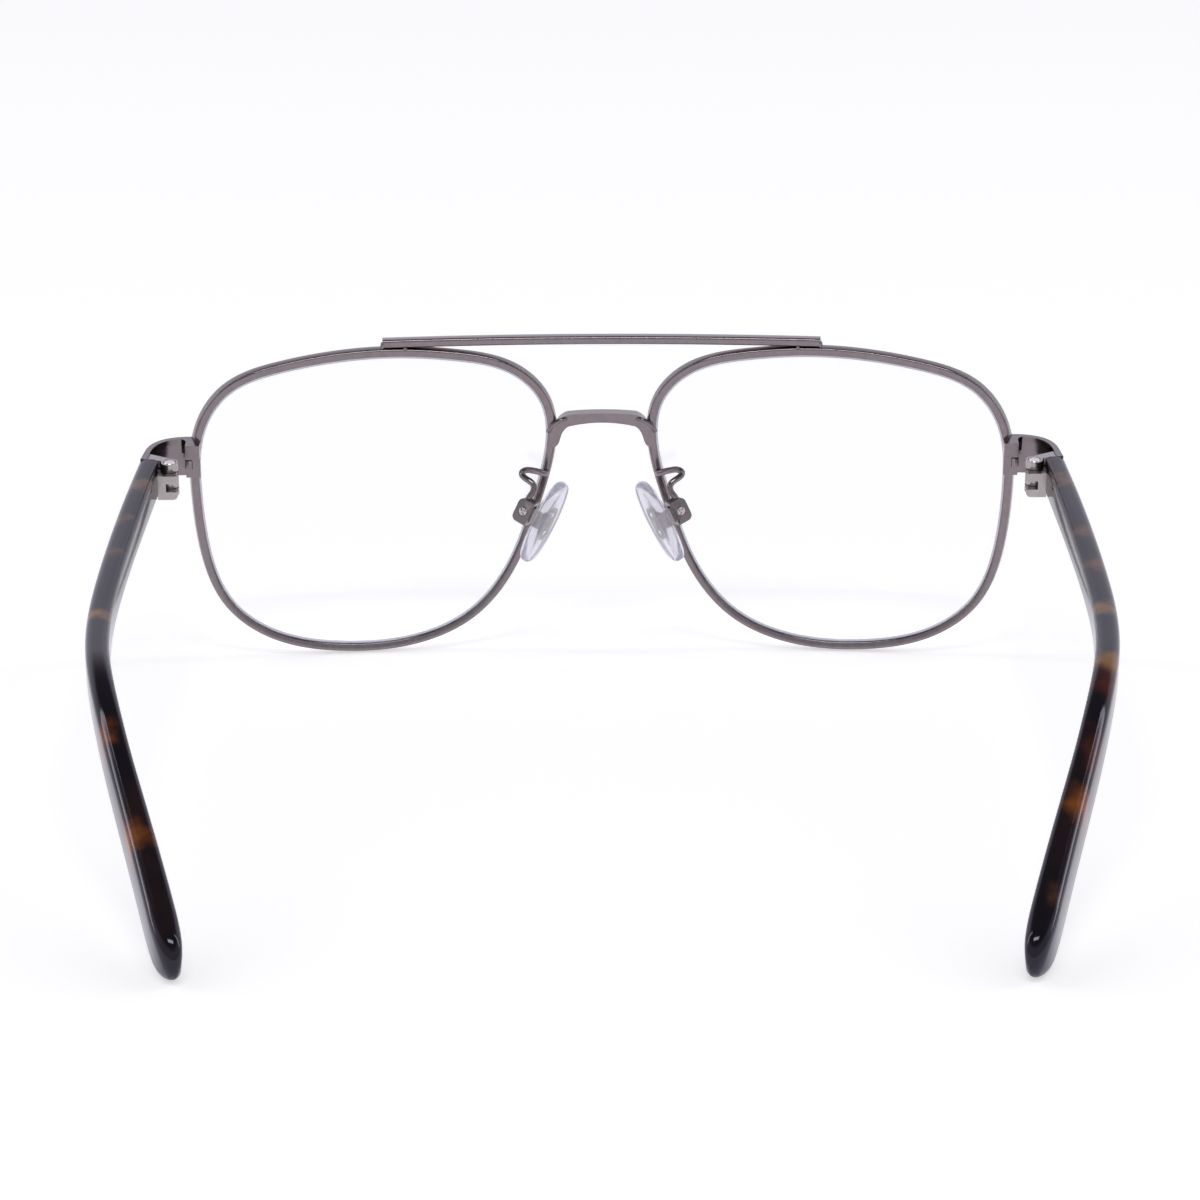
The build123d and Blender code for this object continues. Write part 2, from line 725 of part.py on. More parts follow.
with BuildPart() as right_pad_box:
    with BuildSketch(box_plane.offset(-half_box)):
        with BuildLine():
            Polyline(
                (-box_length / 2, -box_depth / 2),
                (box_length / 2, -box_depth / 2),
                (box_length / 2, box_depth / 2),
                (-box_length / 2, box_depth / 2),
                close=True,
            )
        box_face = make_face()
        fillet(box_face.vertices().sort_by(Axis.Y)[:2], box_round)
    extrude(amount=box_width)
    with BuildSketch(box_plane.offset(-box_slot / 2)):
        with BuildLine():
            Polyline(
                (-box_length / 2 + box_wall, -box_depth / 2 + box_wall),
                (box_length / 2 - box_wall, -box_depth / 2 + box_wall),
                (box_length / 2 - box_wall, box_depth / 2 + overrun),
                (-box_length / 2 + box_wall, box_depth / 2 + overrun),
                close=True,
            )
        make_face()
    extrude(amount=box_slot, mode=Mode.SUBTRACT)
    with BuildSketch(box_plane.offset(-half_box)):
        Circle(pad_screw_radius + running_clearance)
    extrude(amount=box_width, mode=Mode.SUBTRACT)
    with BuildSketch(box_plane.offset(head_seat)):
        Circle(pad_head_radius + running_clearance)
    extrude(amount=pad_head_height, mode=Mode.SUBTRACT)

with BuildPart() as right_pad_screw:
    with BuildSketch(box_plane.offset(-half_box)):
        Circle(pad_screw_radius)
    extrude(amount=half_box + head_seat)
    with BuildSketch(box_plane.offset(head_seat)):
        Circle(pad_head_radius)
    extrude(amount=pad_head_height)
    with BuildSketch(box_plane.offset(head_seat + pad_head_height)):
        Rectangle(slot_width, 2 * pad_head_radius)
        Rectangle(2 * pad_head_radius, slot_width)
    extrude(amount=-slot_depth, mode=Mode.SUBTRACT)

# Pad arm: a wire from the back of the rim, looped so that it can be bent to fit, to the box
arm_end = box_plane.from_local_coords(Vector(box_length / 2, -box_depth * arm_seat_share / 2, 0))
arm_points = [arm_root]
for reach_share, back_share, rise_share in arm_shares:
    arm_points.append(
        arm_root
        + Vector(reach_share * arm_reach, back_share * (arm_end.Y - arm_root.Y), rise_share * arm_rise)
    )
arm_points.append(arm_end)
arm_curve = Edge.make_spline(arm_points, tangents=(arm_backward, -pad_up))


def arcs_along(curve, count):
    """Return pairs of arcs that follow a curve, each running smoothly into the next."""
    arcs = []
    for number in range(count):
        start = curve @ (number / count)
        end = curve @ ((number + 1) / count)
        ahead = (curve % (number / count)).normalized()
        onward = (curve % ((number + 1) / count)).normalized()
        chord = end - start
        lean = chord.dot(ahead + onward)
        turn = 1 - ahead.dot(onward)
        reach = (sqrt(lean**2 + 2 * turn * chord.dot(chord)) - lean) / (2 * turn)
        middle = (start + end + (ahead - onward) * reach) / 2
        first = Edge.make_tangent_arc(start, ahead, middle)
        arcs.append(first)
        arcs.append(Edge.make_tangent_arc(middle, first % 1, end))
    return arcs


with BuildPart() as right_pad_arm:
    with BuildLine() as arm_line:
        Line(arm_root - arm_backward * arm_radius, arm_root)
        add(arcs_along(arm_curve, arm_steps))
    with BuildSketch(Plane(origin=arm_root - arm_backward * arm_radius, z_dir=arm_backward)):
        Circle(arm_radius)
    sweep(path=arm_line.wire())
    add(rim_seat.part, mode=Mode.SUBTRACT)

# The right half, its mirror image, and the two pieces that lie across the middle
right_half = {
    "rim": right_rim,
    "lens": right_lens,
    "endpiece": right_endpiece,
    "closing_block": right_closing_block,
    "closing_screw": right_closing_screw,
    "front_hinge": right_front_hinge,
    "temple_hinge": right_temple_hinge,
    "hinge_screw": right_hinge_screw,
    "temple": right_temple,
    "core_wire": right_core_wire,
    "nose_pad": right_nose_pad,
    "pad_core": right_pad_core,
    "pad_box": right_pad_box,
    "pad_screw": right_pad_screw,
    "pad_arm": right_pad_arm,
}
pieces = {"top_bar": top_bar, "bridge": bridge}
for name, right_piece in right_half.items():
    with BuildPart() as left_piece:
        mirror(right_piece.part, about=Plane.YZ)
    pieces["right_" + name] = right_piece
    pieces["left_" + name] = left_piece

# The origin is the middle of the footprint on the table
boxes = [piece.part.bounding_box() for piece in pieces.values()]
front_most = max(box.max.Y for box in boxes)
rear_most = min(box.min.Y for box in boxes)
lowest = min(box.min.Z for box in boxes)
to_origin = Location((0, -(front_most + rear_most) / 2, -lowest))

for name, piece in pieces.items():
    placed = piece.part.moved(to_origin)
    placed.label = name
    export_step(placed, f"parts/{name}.step")
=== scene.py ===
"""Double bridge glasses: shaped pieces, finishes, table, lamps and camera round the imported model."""

from __future__ import annotations

import json
import logging
import math
from dataclasses import dataclass
from enum import Enum
from typing import Any, Mapping, Sequence

import bmesh
import bpy
import numpy as np
from mathutils import Matrix, Vector

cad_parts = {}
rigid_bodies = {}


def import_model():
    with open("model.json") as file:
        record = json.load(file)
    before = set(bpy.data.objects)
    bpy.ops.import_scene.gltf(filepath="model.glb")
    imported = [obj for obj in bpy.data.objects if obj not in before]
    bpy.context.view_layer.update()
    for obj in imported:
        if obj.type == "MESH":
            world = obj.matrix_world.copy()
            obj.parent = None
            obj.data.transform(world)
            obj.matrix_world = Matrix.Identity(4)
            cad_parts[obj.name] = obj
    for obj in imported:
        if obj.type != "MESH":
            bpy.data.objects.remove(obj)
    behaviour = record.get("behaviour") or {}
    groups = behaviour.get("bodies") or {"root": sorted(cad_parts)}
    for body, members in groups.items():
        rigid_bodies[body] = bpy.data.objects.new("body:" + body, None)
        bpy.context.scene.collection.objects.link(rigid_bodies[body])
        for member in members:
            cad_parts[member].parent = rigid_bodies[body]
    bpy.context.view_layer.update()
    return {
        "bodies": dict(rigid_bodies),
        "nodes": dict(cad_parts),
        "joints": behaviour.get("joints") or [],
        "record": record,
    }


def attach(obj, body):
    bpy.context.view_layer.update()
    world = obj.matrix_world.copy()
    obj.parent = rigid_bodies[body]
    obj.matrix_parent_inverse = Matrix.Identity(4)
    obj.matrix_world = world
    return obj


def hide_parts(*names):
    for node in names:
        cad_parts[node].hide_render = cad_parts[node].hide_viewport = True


log = logging.getLogger("glasses")
MM = 0.001
# The slope of the hinges and temples, in degrees
HINGE_SLOPE = 5.0
# Points nearer than this are one, in millimetres
WELD = 0.0002
# How much of a round bar's half width its corners take up, as they may not quite meet
ROUND_SHARE = 0.999
# The joint that the right-hand hinge pieces are placed from
FOLD = "right_temple_fold"
SCREW_LENGTHS = (
    "Head Radius", "Head Height", "Head Bevel", "Shank Radius", "Shank Length", "Slot Width", "Slot Depth",
)

Socket = bpy.types.NodeSocket
Node = bpy.types.Node
Material = bpy.types.Material
Mesh = bpy.types.Mesh
Object = bpy.types.Object
Array = np.ndarray
Point = tuple[float, float, float]
Colour = tuple[float, float, float]
Span = tuple[float, float]


class Side(Enum):
    """One side of the glasses, as the wearer sees it."""

    RIGHT = 1
    LEFT = -1

    @property
    def prefix(self) -> str:
        """Return the start of the side's node names."""
        return "right_" if self is Side.RIGHT else "left_"

    def turned(self, places: Array) -> Array:
        """Return right-hand places or directions on this side."""
        return np.asarray(places, float) * (self.value, 1.0, 1.0)


class Finish(Enum):
    """The record's material slots."""

    FRONT_METAL = "front_metal"
    HINGE_METAL = "hinge_metal"
    SCREW = "bright_screw"
    CORE_STEEL = "core_steel"
    LENS = "clear_lens"
    SILICONE = "clear_silicone"
    ACETATE = "tortoise_acetate"


# Lines and shapes in numbers


def cubic_through(
    points: Sequence[Sequence[float]],
    steps: int,
    closed: bool = False,
    ends: tuple[Sequence[float], Sequence[float]] | None = None,
) -> tuple[Array, Array]:
    """Return even samples of the smooth cubic curve through points.

    Args:
        points: The points, in order.
        steps: How many samples are taken.
        closed: Whether the curve runs back into its first point.
        ends: The directions at both ends, or None for ends without a bend.

    Returns:
        The places, and the unit directions along the curve there.
    """
    knots = np.asarray(points, float)
    if closed:
        knots = np.vstack([knots, knots[:1]])
    spans = np.linalg.norm(np.diff(knots, axis=0), axis=1)
    rise = np.diff(knots, axis=0) / spans[:, None]
    last = len(knots) - 1
    table = np.eye(last + 1)
    right = np.zeros_like(knots)
    for number in range(1, last):
        table[number, number - 1 : number + 2] = (
            spans[number - 1],
            2 * (spans[number - 1] + spans[number]),
            spans[number],
        )
        right[number] = 6 * (rise[number] - rise[number - 1])
    if closed:
        table[0, last] = -1
        table[last, last] = 2 * (spans[-1] + spans[0])
        table[last, last - 1] = spans[-1]
        table[last, 1] += spans[0]
        right[last] = 6 * (rise[0] - rise[-1])
    elif ends is not None:
        table[0, :2] = (2 * spans[0], spans[0])
        table[last, last - 1 :] = (spans[-1], 2 * spans[-1])
        right[0] = 6 * (rise[0] - np.asarray(ends[0]))
        right[last] = 6 * (np.asarray(ends[1]) - rise[-1])
    bends = np.linalg.solve(table, right)
    starts = np.concatenate([[0.0], np.cumsum(spans)])
    along = np.linspace(0.0, starts[-1], steps + 1 if closed else steps)[:steps]
    span = np.clip(np.searchsorted(starts, along, side="right") - 1, 0, last - 1)
    width = spans[span][:, None]
    after = (along - starts[span])[:, None]
    before = width - after
    first, second = bends[span], bends[span + 1]
    places = (
        (first * before**3 + second * after**3) / (6 * width)
        + (knots[span] / width - first * width / 6) * before
        + (knots[span + 1] / width - second * width / 6) * after
    )
    slopes = (
        (second * after**2 - first * before**2) / (2 * width)
        + (knots[span + 1] - knots[span]) / width
        - (second - first) * width / 6
    )
    return places, unit(slopes)


def unit(rows: Array) -> Array:
    """Return rows of numbers scaled to length one."""
    return rows / np.linalg.norm(rows, axis=-1, keepdims=True)


def hinge_axes() -> Array:
    """Work out the temple hinges' axes.

    Returns:
        The axes as rows: outward, forward and up.
    """
    slope = math.radians(HINGE_SLOPE)
    along, down = math.cos(slope), math.sin(slope)
    return np.array([[1, 0, 0], [0, along, down], [0, -down, along]])


def new_object(name: str, mesh: Mesh) -> Object:
    """Put a mesh into the scene.

    Args:
        name: The new object's name.
        mesh: The mesh.

    Returns:
        The new object.
    """
    piece = bpy.data.objects.new(name, mesh)
    bpy.context.scene.collection.objects.link(piece)
    return piece


def ringed_object(name: str, rings: Sequence[Array], side: Side) -> Object:
    """Skin closed rings of points into a closed shape.

    Args:
        name: The new object's name.
        rings: Right-hand rings in millimetres, each with as many points as the next.
        side: The side that the shape is for.

    Returns:
        The object, with its faces outward.
    """
    size = len(rings[0])
    points = side.turned(np.vstack(rings)) * MM
    faces: list[tuple[int, ...]] = []
    for start in range(0, len(points) - size, size):
        for number in range(size):
            after = (number + 1) % size
            faces.append((start + number, start + after, start + size + after, start + size + number))
    faces.append(tuple(reversed(range(size))))
    faces.append(tuple(range(len(points) - size, len(points))))
    mesh = bpy.data.meshes.new(name)
    mesh.from_pydata(points.tolist(), [], faces)
    work = bmesh.new()
    work.from_mesh(mesh)
    bmesh.ops.remove_doubles(work, verts=work.verts, dist=WELD * MM)
    bmesh.ops.recalc_face_normals(work, faces=work.faces)
    work.to_mesh(mesh)
    work.free()
    return new_object(name, mesh)


def shade(mesh: Mesh, angle: float) -> None:
    """Shade a mesh smooth, but for edges sharper than an angle in degrees."""
    mesh.shade_smooth()
    mesh.set_sharp_from_angle(angle=math.radians(angle))


def settle(piece: Object) -> None:
    """Make what a piece's modifiers give its plain mesh.

    Args:
        piece: The piece.
    """
    evaluated = piece.evaluated_get(bpy.context.evaluated_depsgraph_get())
    piece.data = bpy.data.meshes.new_from_object(evaluated)
    piece.modifiers.clear()


# Node graphs


class Graph:
    """A node tree, with short ways to add and join nodes."""

    def __init__(self, tree: bpy.types.NodeTree) -> None:
        """Start from the tree that the nodes go into."""
        self.tree = tree

    def add(self, kind: str, values: Mapping[Any, Any] | None = None, **settings: Any) -> Node:
        """Add a node.

        Args:
            kind: The node's type name.
            values: Input names or numbers, each with a value or an output socket to join.
            settings: Properties of the node.

        Returns:
            The new node.
        """
        node = self.tree.nodes.new(kind)
        for key, value in settings.items():
            setattr(node, key, value)
        for key, value in (values or {}).items():
            if isinstance(value, Socket):
                self.tree.links.new(value, node.inputs[key])
            else:
                node.inputs[key].default_value = value
        return node

    def maths(self, operation: str, first: Any, second: Any = 0.0) -> Socket:
        """Return the result of a sum of two numbers or sockets."""
        return self.add("ShaderNodeMath", {0: first, 1: second}, operation=operation).outputs[0]

    def vector(self, operation: str, first: Any, second: Any = None, output: int = 0) -> Socket:
        """Add a sum of two vectors.

        Args:
            operation: The kind of sum.
            first: A vector or an output socket.
            second: A vector, a number for a scale, or an output socket.
            output: Which output is returned.

        Returns:
            The output socket.
        """
        values = {0: first}
        if second is not None:
            values[3 if operation == "SCALE" else 1] = second
        return self.add("ShaderNodeVectorMath", values, operation=operation).outputs[output]

    def ranged(self, value: Any, low: float, high: float, to_low: float, to_high: float) -> Socket:
        """Map a number from low and high to other limits, smoothly and held at both ends."""
        values = {"Value": value, "From Min": low, "From Max": high, "To Min": to_low, "To Max": to_high}
        return self.add("ShaderNodeMapRange", values, interpolation_type="SMOOTHSTEP").outputs["Result"]


class ShapeTree(Graph):
    """A Geometry Nodes tree with named inputs, which ends in real faces with a finish."""

    def __init__(self, name: str, sizes: Mapping[str, float | int | bool]) -> None:
        """Start a tree.

        Args:
            name: The tree's name.
            sizes: Its named inputs with their first values.
        """
        super().__init__(bpy.data.node_groups.new(name, "GeometryNodeTree"))
        face = self.tree.interface
        face.new_socket(name="Geometry", in_out="INPUT", socket_type="NodeSocketGeometry")
        for label, value in sizes.items():
            kind = {bool: "NodeSocketBool", int: "NodeSocketInt"}.get(type(value), "NodeSocketFloat")
            face.new_socket(name=label, in_out="INPUT", socket_type=kind).default_value = value
        face.new_socket(name="Finish", in_out="INPUT", socket_type="NodeSocketMaterial")
        face.new_socket(name="Geometry", in_out="OUTPUT", socket_type="NodeSocketGeometry")
        self.given = self.tree.nodes.new("NodeGroupInput").outputs
        self.result = self.tree.nodes.new("NodeGroupOutput")

    def close(self, geometry: Socket) -> None:
        """Make the geometry real, give it its finish and send it out.

        Args:
            geometry: The geometry to send out.
        """
        real = self.add("GeometryNodeRealizeInstances", {"Geometry": geometry})
        values = {"Geometry": real.outputs[0], "Material": self.given["Finish"]}
        dressed = self.add("GeometryNodeSetMaterial", values)
        self.tree.links.new(dressed.outputs[0], self.result.inputs["Geometry"])

    def stored(self, name: str) -> Socket:
        """Return the directions that the points hold under a name."""
        found = self.add("GeometryNodeInputNamedAttribute", {"Name": name}, data_type="FLOAT_VECTOR")
        return found.outputs["Attribute"]

    def grow(self, name: str, seed: Mesh, sizes: Mapping[str, Any], finish: Material) -> Object:
        """Run the tree on a mesh and keep the result as a plain mesh.

        Args:
            name: The new object's name.
            seed: The path or the points that the tree starts from.
            sizes: Values for its named inputs.
            finish: The material.

        Returns:
            The new object, with no modifier.
        """
        piece = new_object(name, seed)
        modifier = piece.modifiers.new(name, "NODES")
        modifier.node_group = self.tree
        values = {**sizes, "Finish": finish}
        for item in self.tree.interface.items_tree:
            if item.in_out == "INPUT" and item.name in values:
                modifier[item.identifier] = values[item.name]
        settle(piece)
        piece.data.name = name
        return piece


def path_mesh(name: str, places: Array, facing: Array) -> Mesh:
    """Return a line of edges for a tree to sweep a bar along.

    Args:
        name: The mesh's name.
        places: Points of the line in millimetres.
        facing: The direction of the bar's depth at each point.

    Returns:
        The mesh, with the directions as its attribute "facing".
    """
    mesh = bpy.data.meshes.new(name)
    mesh.from_pydata((places * MM).tolist(), [(number, number + 1) for number in range(len(places) - 1)], [])
    store(mesh, "facing", facing)
    return mesh


def store(mesh: Mesh, name: str, directions: Array) -> None:
    """Keep a direction for each point of a mesh under a name."""
    stored = mesh.attributes.new(name, "FLOAT_VECTOR", "POINT")
    stored.data.foreach_set("vector", np.ascontiguousarray(directions, np.float32).ravel())


def bar_tree() -> ShapeTree:
    """Return the tree that sweeps a bar with rounded corners along a line.

    Returns:
        The tree, with the inputs Width, Depth, Corner, Corner Steps and Finish.
    """
    tree = ShapeTree("swept_bar", {"Width": MM, "Depth": MM, "Corner": MM, "Corner Steps": 1})
    given = tree.given
    line = tree.add("GeometryNodeMeshToCurve", {"Mesh": given["Geometry"]})
    values = {"Curve": line.outputs[0], "Normal": tree.stored("facing")}
    turned = tree.add("GeometryNodeSetCurveNormal", values, mode="FREE")
    values = {"Width": given["Depth"], "Height": given["Width"]}
    section = tree.add("GeometryNodeCurvePrimitiveQuadrilateral", values)
    values = {
        "Curve": section.outputs[0], "Count": given["Corner Steps"], "Radius": given["Corner"],
        "Limit Radius": True,
    }
    rounded = tree.add("GeometryNodeFilletCurve", values, mode="POLY")
    values = {"Curve": turned.outputs[0], "Profile Curve": rounded.outputs[0], "Fill Caps": True}
    tree.close(tree.add("GeometryNodeCurveToMesh", values).outputs[0])
    return tree


def screw_tree(head_sides: int = 48, shank_sides: int = 32, slot_reach: float = 2.4) -> ShapeTree:
    """Return the tree that sets a slotted screw on each point.

    The point is the middle of the head's outer face, and its attributes "aim" and "slot" are the
    directions out of the head and along the slot.

    Args:
        head_sides: How many sides the head has.
        shank_sides: How many sides the shank has.
        slot_reach: The slot's length as a share of the head's radius.

    Returns:
        The tree, with the inputs for the head, the shank and the slots, and Finish.
    """
    tree = ShapeTree("slotted_screw", {**dict.fromkeys(SCREW_LENGTHS, MM), "Cross Slot": False})
    given = tree.given
    radius, bevel, shank_length = given["Head Radius"], given["Head Bevel"], given["Shank Length"]
    straight = tree.maths("SUBTRACT", given["Head Height"], bevel)

    def lowered(kind: str, values: Mapping[str, Any], depth: Any) -> Socket:
        """Add a shape, moved down.

        Args:
            kind: The shape's node type.
            values: The node's inputs.
            depth: How far down.

        Returns:
            The shape's output socket.
        """
        shape = tree.add(kind, values)
        down = tree.add("ShaderNodeCombineXYZ", {2: tree.maths("MULTIPLY", depth, -1.0)})
        moved = {"Geometry": shape.outputs[0], "Translation": down.outputs[0]}
        return tree.add("GeometryNodeTransform", moved).outputs[0]

    def cuboid(*sides: Any) -> Node:
        """Return a cuboid with the given sides."""
        size = tree.add("ShaderNodeCombineXYZ", dict(enumerate(sides)))
        return tree.add("GeometryNodeMeshCube", {"Size": size.outputs[0]})

    def below(top: Any, length: Any) -> Socket:
        """Return the depth of the middle of a length that starts at a top."""
        return tree.maths("ADD", top, tree.maths("MULTIPLY", length, 0.5))

    crown = {
        "Vertices": head_sides, "Radius Top": tree.maths("SUBTRACT", radius, bevel), "Radius Bottom": radius,
        "Depth": bevel,
    }
    head = {"Vertices": head_sides, "Radius": radius, "Depth": straight}
    shank = {"Vertices": shank_sides, "Radius": given["Shank Radius"], "Depth": shank_length}
    crown_shape = lowered("GeometryNodeMeshCone", crown, bevel)
    upper = tree.add("GeometryNodeMeshBoolean", {"Mesh 2": crown_shape}, operation="UNION")
    head_shape = lowered("GeometryNodeMeshCylinder", head, below(bevel, straight))
    tree.tree.links.new(head_shape, upper.inputs["Mesh 2"])
    long_slot = tree.maths("MULTIPLY", radius, slot_reach)
    double_depth = tree.maths("MULTIPLY", given["Slot Depth"], 2.0)
    slot = cuboid(long_slot, given["Slot Width"], double_depth)
    second = cuboid(given["Slot Width"], long_slot, double_depth)
    values = {"Switch": given["Cross Slot"], "True": second.outputs[0]}
    chosen = tree.add("GeometryNodeSwitch", values, input_type="GEOMETRY")
    cut = tree.add("GeometryNodeMeshBoolean", {"Mesh 1": upper.outputs[0], "Mesh 2": slot.outputs[0]})
    tree.tree.links.new(chosen.outputs[0], cut.inputs["Mesh 2"])
    whole = tree.add("GeometryNodeJoinGeometry", {0: cut.outputs[0]})
    pin = lowered("GeometryNodeMeshCylinder", shank, below(given["Head Height"], shank_length))
    tree.tree.links.new(pin, whole.inputs[0])
    upright = tree.add("FunctionNodeAlignRotationToVector", {"Vector": tree.stored("aim")}, axis="Z")
    values = {"Rotation": upright.outputs[0], "Vector": tree.stored("slot")}
    turned = tree.add("FunctionNodeAlignRotationToVector", values, axis="X", pivot_axis="Z")
    values = {"Points": given["Geometry"], "Instance": whole.outputs[0], "Rotation": turned.outputs[0]}
    tree.close(tree.add("GeometryNodeInstanceOnPoints", values).outputs[0])
    return tree


# Finishes


class Shader(Graph):
    """A material's node tree."""

    def __init__(self, name: str) -> None:
        """Start an empty material.

        Args:
            name: The material's name.
        """
        self.material = bpy.data.materials.new(name)
        self.material.use_nodes = True
        super().__init__(self.material.node_tree)
        self.tree.nodes.clear()
        self.output = self.tree.nodes.new("ShaderNodeOutputMaterial")

    def blend(self, share: Any, first: Any, second: Any) -> Socket:
        """Return the mix of two colours or sockets, with the second one's share."""
        return self.add("ShaderNodeMix", {0: share, 6: first, 7: second}, data_type="RGBA").outputs[2]

    def mixed(self, share: Any, first: Node, second: Node) -> Node:
        """Return the mix of two surfaces, with the second one's share."""
        return self.add("ShaderNodeMixShader", {0: share, 1: first.outputs[0], 2: second.outputs[0]})

    def place(self) -> Socket:
        """Return the place on the object in millimetres."""
        return self.vector("SCALE", self.add("ShaderNodeTexCoord").outputs["Object"], 1 / MM)

    def noise(self, scale: float, detail: float = 2.0, stretch: Point = (1, 1, 1)) -> Socket:
        """Add a noise on the place in millimetres.

        Args:
            scale: Blobs per millimetre.
            detail: Layers of finer noise.
            stretch: How much the place is scaled along each axis before the noise.

        Returns:
            The noise's output socket.
        """
        mapped = self.add("ShaderNodeMapping", {"Vector": self.place(), "Scale": stretch})
        values = {"Vector": mapped.outputs[0], "Scale": scale, "Detail": detail}
        return self.add("ShaderNodeTexNoise", values).outputs["Fac"]

    def bump(self, height: Any, strength: float, distance: float) -> Socket:
        """Return the normal bumped by a height, whose full step is a distance in millimetres."""
        values = {"Height": height, "Strength": strength, "Distance": distance * MM}
        return self.add("ShaderNodeBump", values).outputs[0]

    def finish(self, surface: Node) -> Material:
        """Join a surface to the output and return the material."""
        self.tree.links.new(surface.outputs[0], self.output.inputs["Surface"])
        return self.material


@dataclass(frozen=True)
class PlatedMetal:
    """A metal with a thin satin plating, mottled a little by polishing and handling."""

    name: str
    colour: Colour
    roughness: float
    spread: float = 0.06
    mottle: float = 0.05
    cloud_scale: float = 0.9
    cloud_detail: float = 4.0
    rough_span: Span = (0.3, 0.7)
    mottle_span: Span = (0.35, 0.65)
    grain: float = 5.0
    grain_strength: float = 0.25
    grain_height: float = 0.0015

    def material(self) -> Material:
        """Make the material.

        Returns:
            The material.
        """
        shader = Shader(self.name)
        cloud = shader.noise(self.cloud_scale, self.cloud_detail)
        half = self.spread / 2
        rough = shader.ranged(cloud, *self.rough_span, self.roughness - half, self.roughness + half)
        darker = tuple(part * (1 - self.mottle) for part in self.colour)
        lighter = tuple(part * (1 + self.mottle) for part in self.colour)
        share = shader.ranged(cloud, *self.mottle_span, 0.0, 1.0)
        colour = shader.blend(share, (*darker, 1), (*lighter, 1))
        normal = shader.bump(shader.noise(self.grain), self.grain_strength, self.grain_height)
        values = {"Base Color": colour, "Metallic": 1.0, "Roughness": rough, "Normal": normal}
        return shader.finish(shader.add("ShaderNodeBsdfPrincipled", values))


@dataclass(frozen=True)
class ClearPlastic:
    """A clear plastic or silicone, cloudy where asked, which lets shadow rays through."""

    name: str
    colour: Colour
    roughness: float
    index: float
    shadow: Colour
    cloud: float = 0.0
    cloud_colour: Colour = (0.8, 0.8, 0.9)
    flat_share: float = 0.5

    def material(self) -> Material:
        """Make the material.

        Returns:
            The material.
        """
        shader = Shader(self.name)
        values = {
            "Base Color": (*self.colour, 1), "Roughness": self.roughness, "IOR": self.index,
            "Transmission Weight": 1.0,
        }
        surface = shader.add("ShaderNodeBsdfPrincipled", values)
        if self.cloud:
            glow = shader.add("ShaderNodeBsdfTranslucent", {"Color": (*self.cloud_colour, 1)})
            flat = shader.add("ShaderNodeBsdfDiffuse", {"Color": (*self.cloud_colour, 1)})
            surface = shader.mixed(self.cloud, surface, shader.mixed(self.flat_share, glow, flat))
        path = shader.add("ShaderNodeLightPath")
        clear = shader.add("ShaderNodeBsdfTransparent", {"Color": (*self.shadow, 1)})
        return shader.finish(shader.mixed(path.outputs["Is Shadow Ray"], surface, clear))


@dataclass(frozen=True)
class Patch:
    """A lighter cloud in the acetate, as an ellipsoid in millimetres."""

    centre: Point
    size: Point
    colour: Colour
    share: float = 1.0


@dataclass(frozen=True)
class TortoiseAcetate:
    """Polished near-black acetate with warm clouds at given places."""

    name: str
    patches: tuple[Patch, ...]
    base: Colour = (0.0085, 0.006, 0.008)
    faint: Colour = (0.03, 0.012, 0.008)
    faint_scale: float = 0.12
    faint_detail: float = 3.0
    faint_stretch: Point = (1, 0.45, 1)
    faint_span: Span = (0.5, 0.72)
    faint_share: float = 0.5
    wobble: float = 5.0
    wobble_scale: float = 0.28
    wobble_detail: float = 2.0
    wobble_middle: Point = (0.5, 0.5, 0.5)
    patch_edge: float = 1.35
    roughness: float = 0.1
    index: float = 1.49
    sheen: Colour = (0.84, 0.81, 1.0)
    wave_scale: float = 0.35
    wave_strength: float = 0.1
    wave_height: float = 0.02

    def material(self) -> Material:
        """Make the material.

        Returns:
            The material.
        """
        shader = Shader(self.name)
        place = shader.place()
        values = {"Vector": place, "Scale": self.wobble_scale, "Detail": self.wobble_detail}
        wobble = shader.add("ShaderNodeTexNoise", values)
        offset = shader.vector("SUBTRACT", wobble.outputs["Color"], self.wobble_middle)
        moved = shader.vector("ADD", place, shader.vector("SCALE", offset, self.wobble))
        cloud = shader.noise(self.faint_scale, self.faint_detail, self.faint_stretch)
        faint = shader.ranged(cloud, *self.faint_span, 0.0, self.faint_share)
        colour = shader.blend(faint, (*self.base, 1), (*self.faint, 1))
        for patch in self.patches:
            shrunk = shader.vector("DIVIDE", shader.vector("SUBTRACT", moved, patch.centre), patch.size)
            reach = shader.vector("LENGTH", shrunk, output=1)
            share = shader.ranged(reach, 0.0, self.patch_edge, patch.share, 0.0)
            colour = shader.blend(share, colour, (*patch.colour, 1))
        waved = shader.bump(shader.noise(self.wave_scale, detail=1.0), self.wave_strength, self.wave_height)
        values = {
            "Base Color": colour, "Roughness": self.roughness, "IOR": self.index,
            "Specular Tint": (*self.sheen, 1), "Normal": waved,
        }
        return shader.finish(shader.add("ShaderNodeBsdfPrincipled", values))


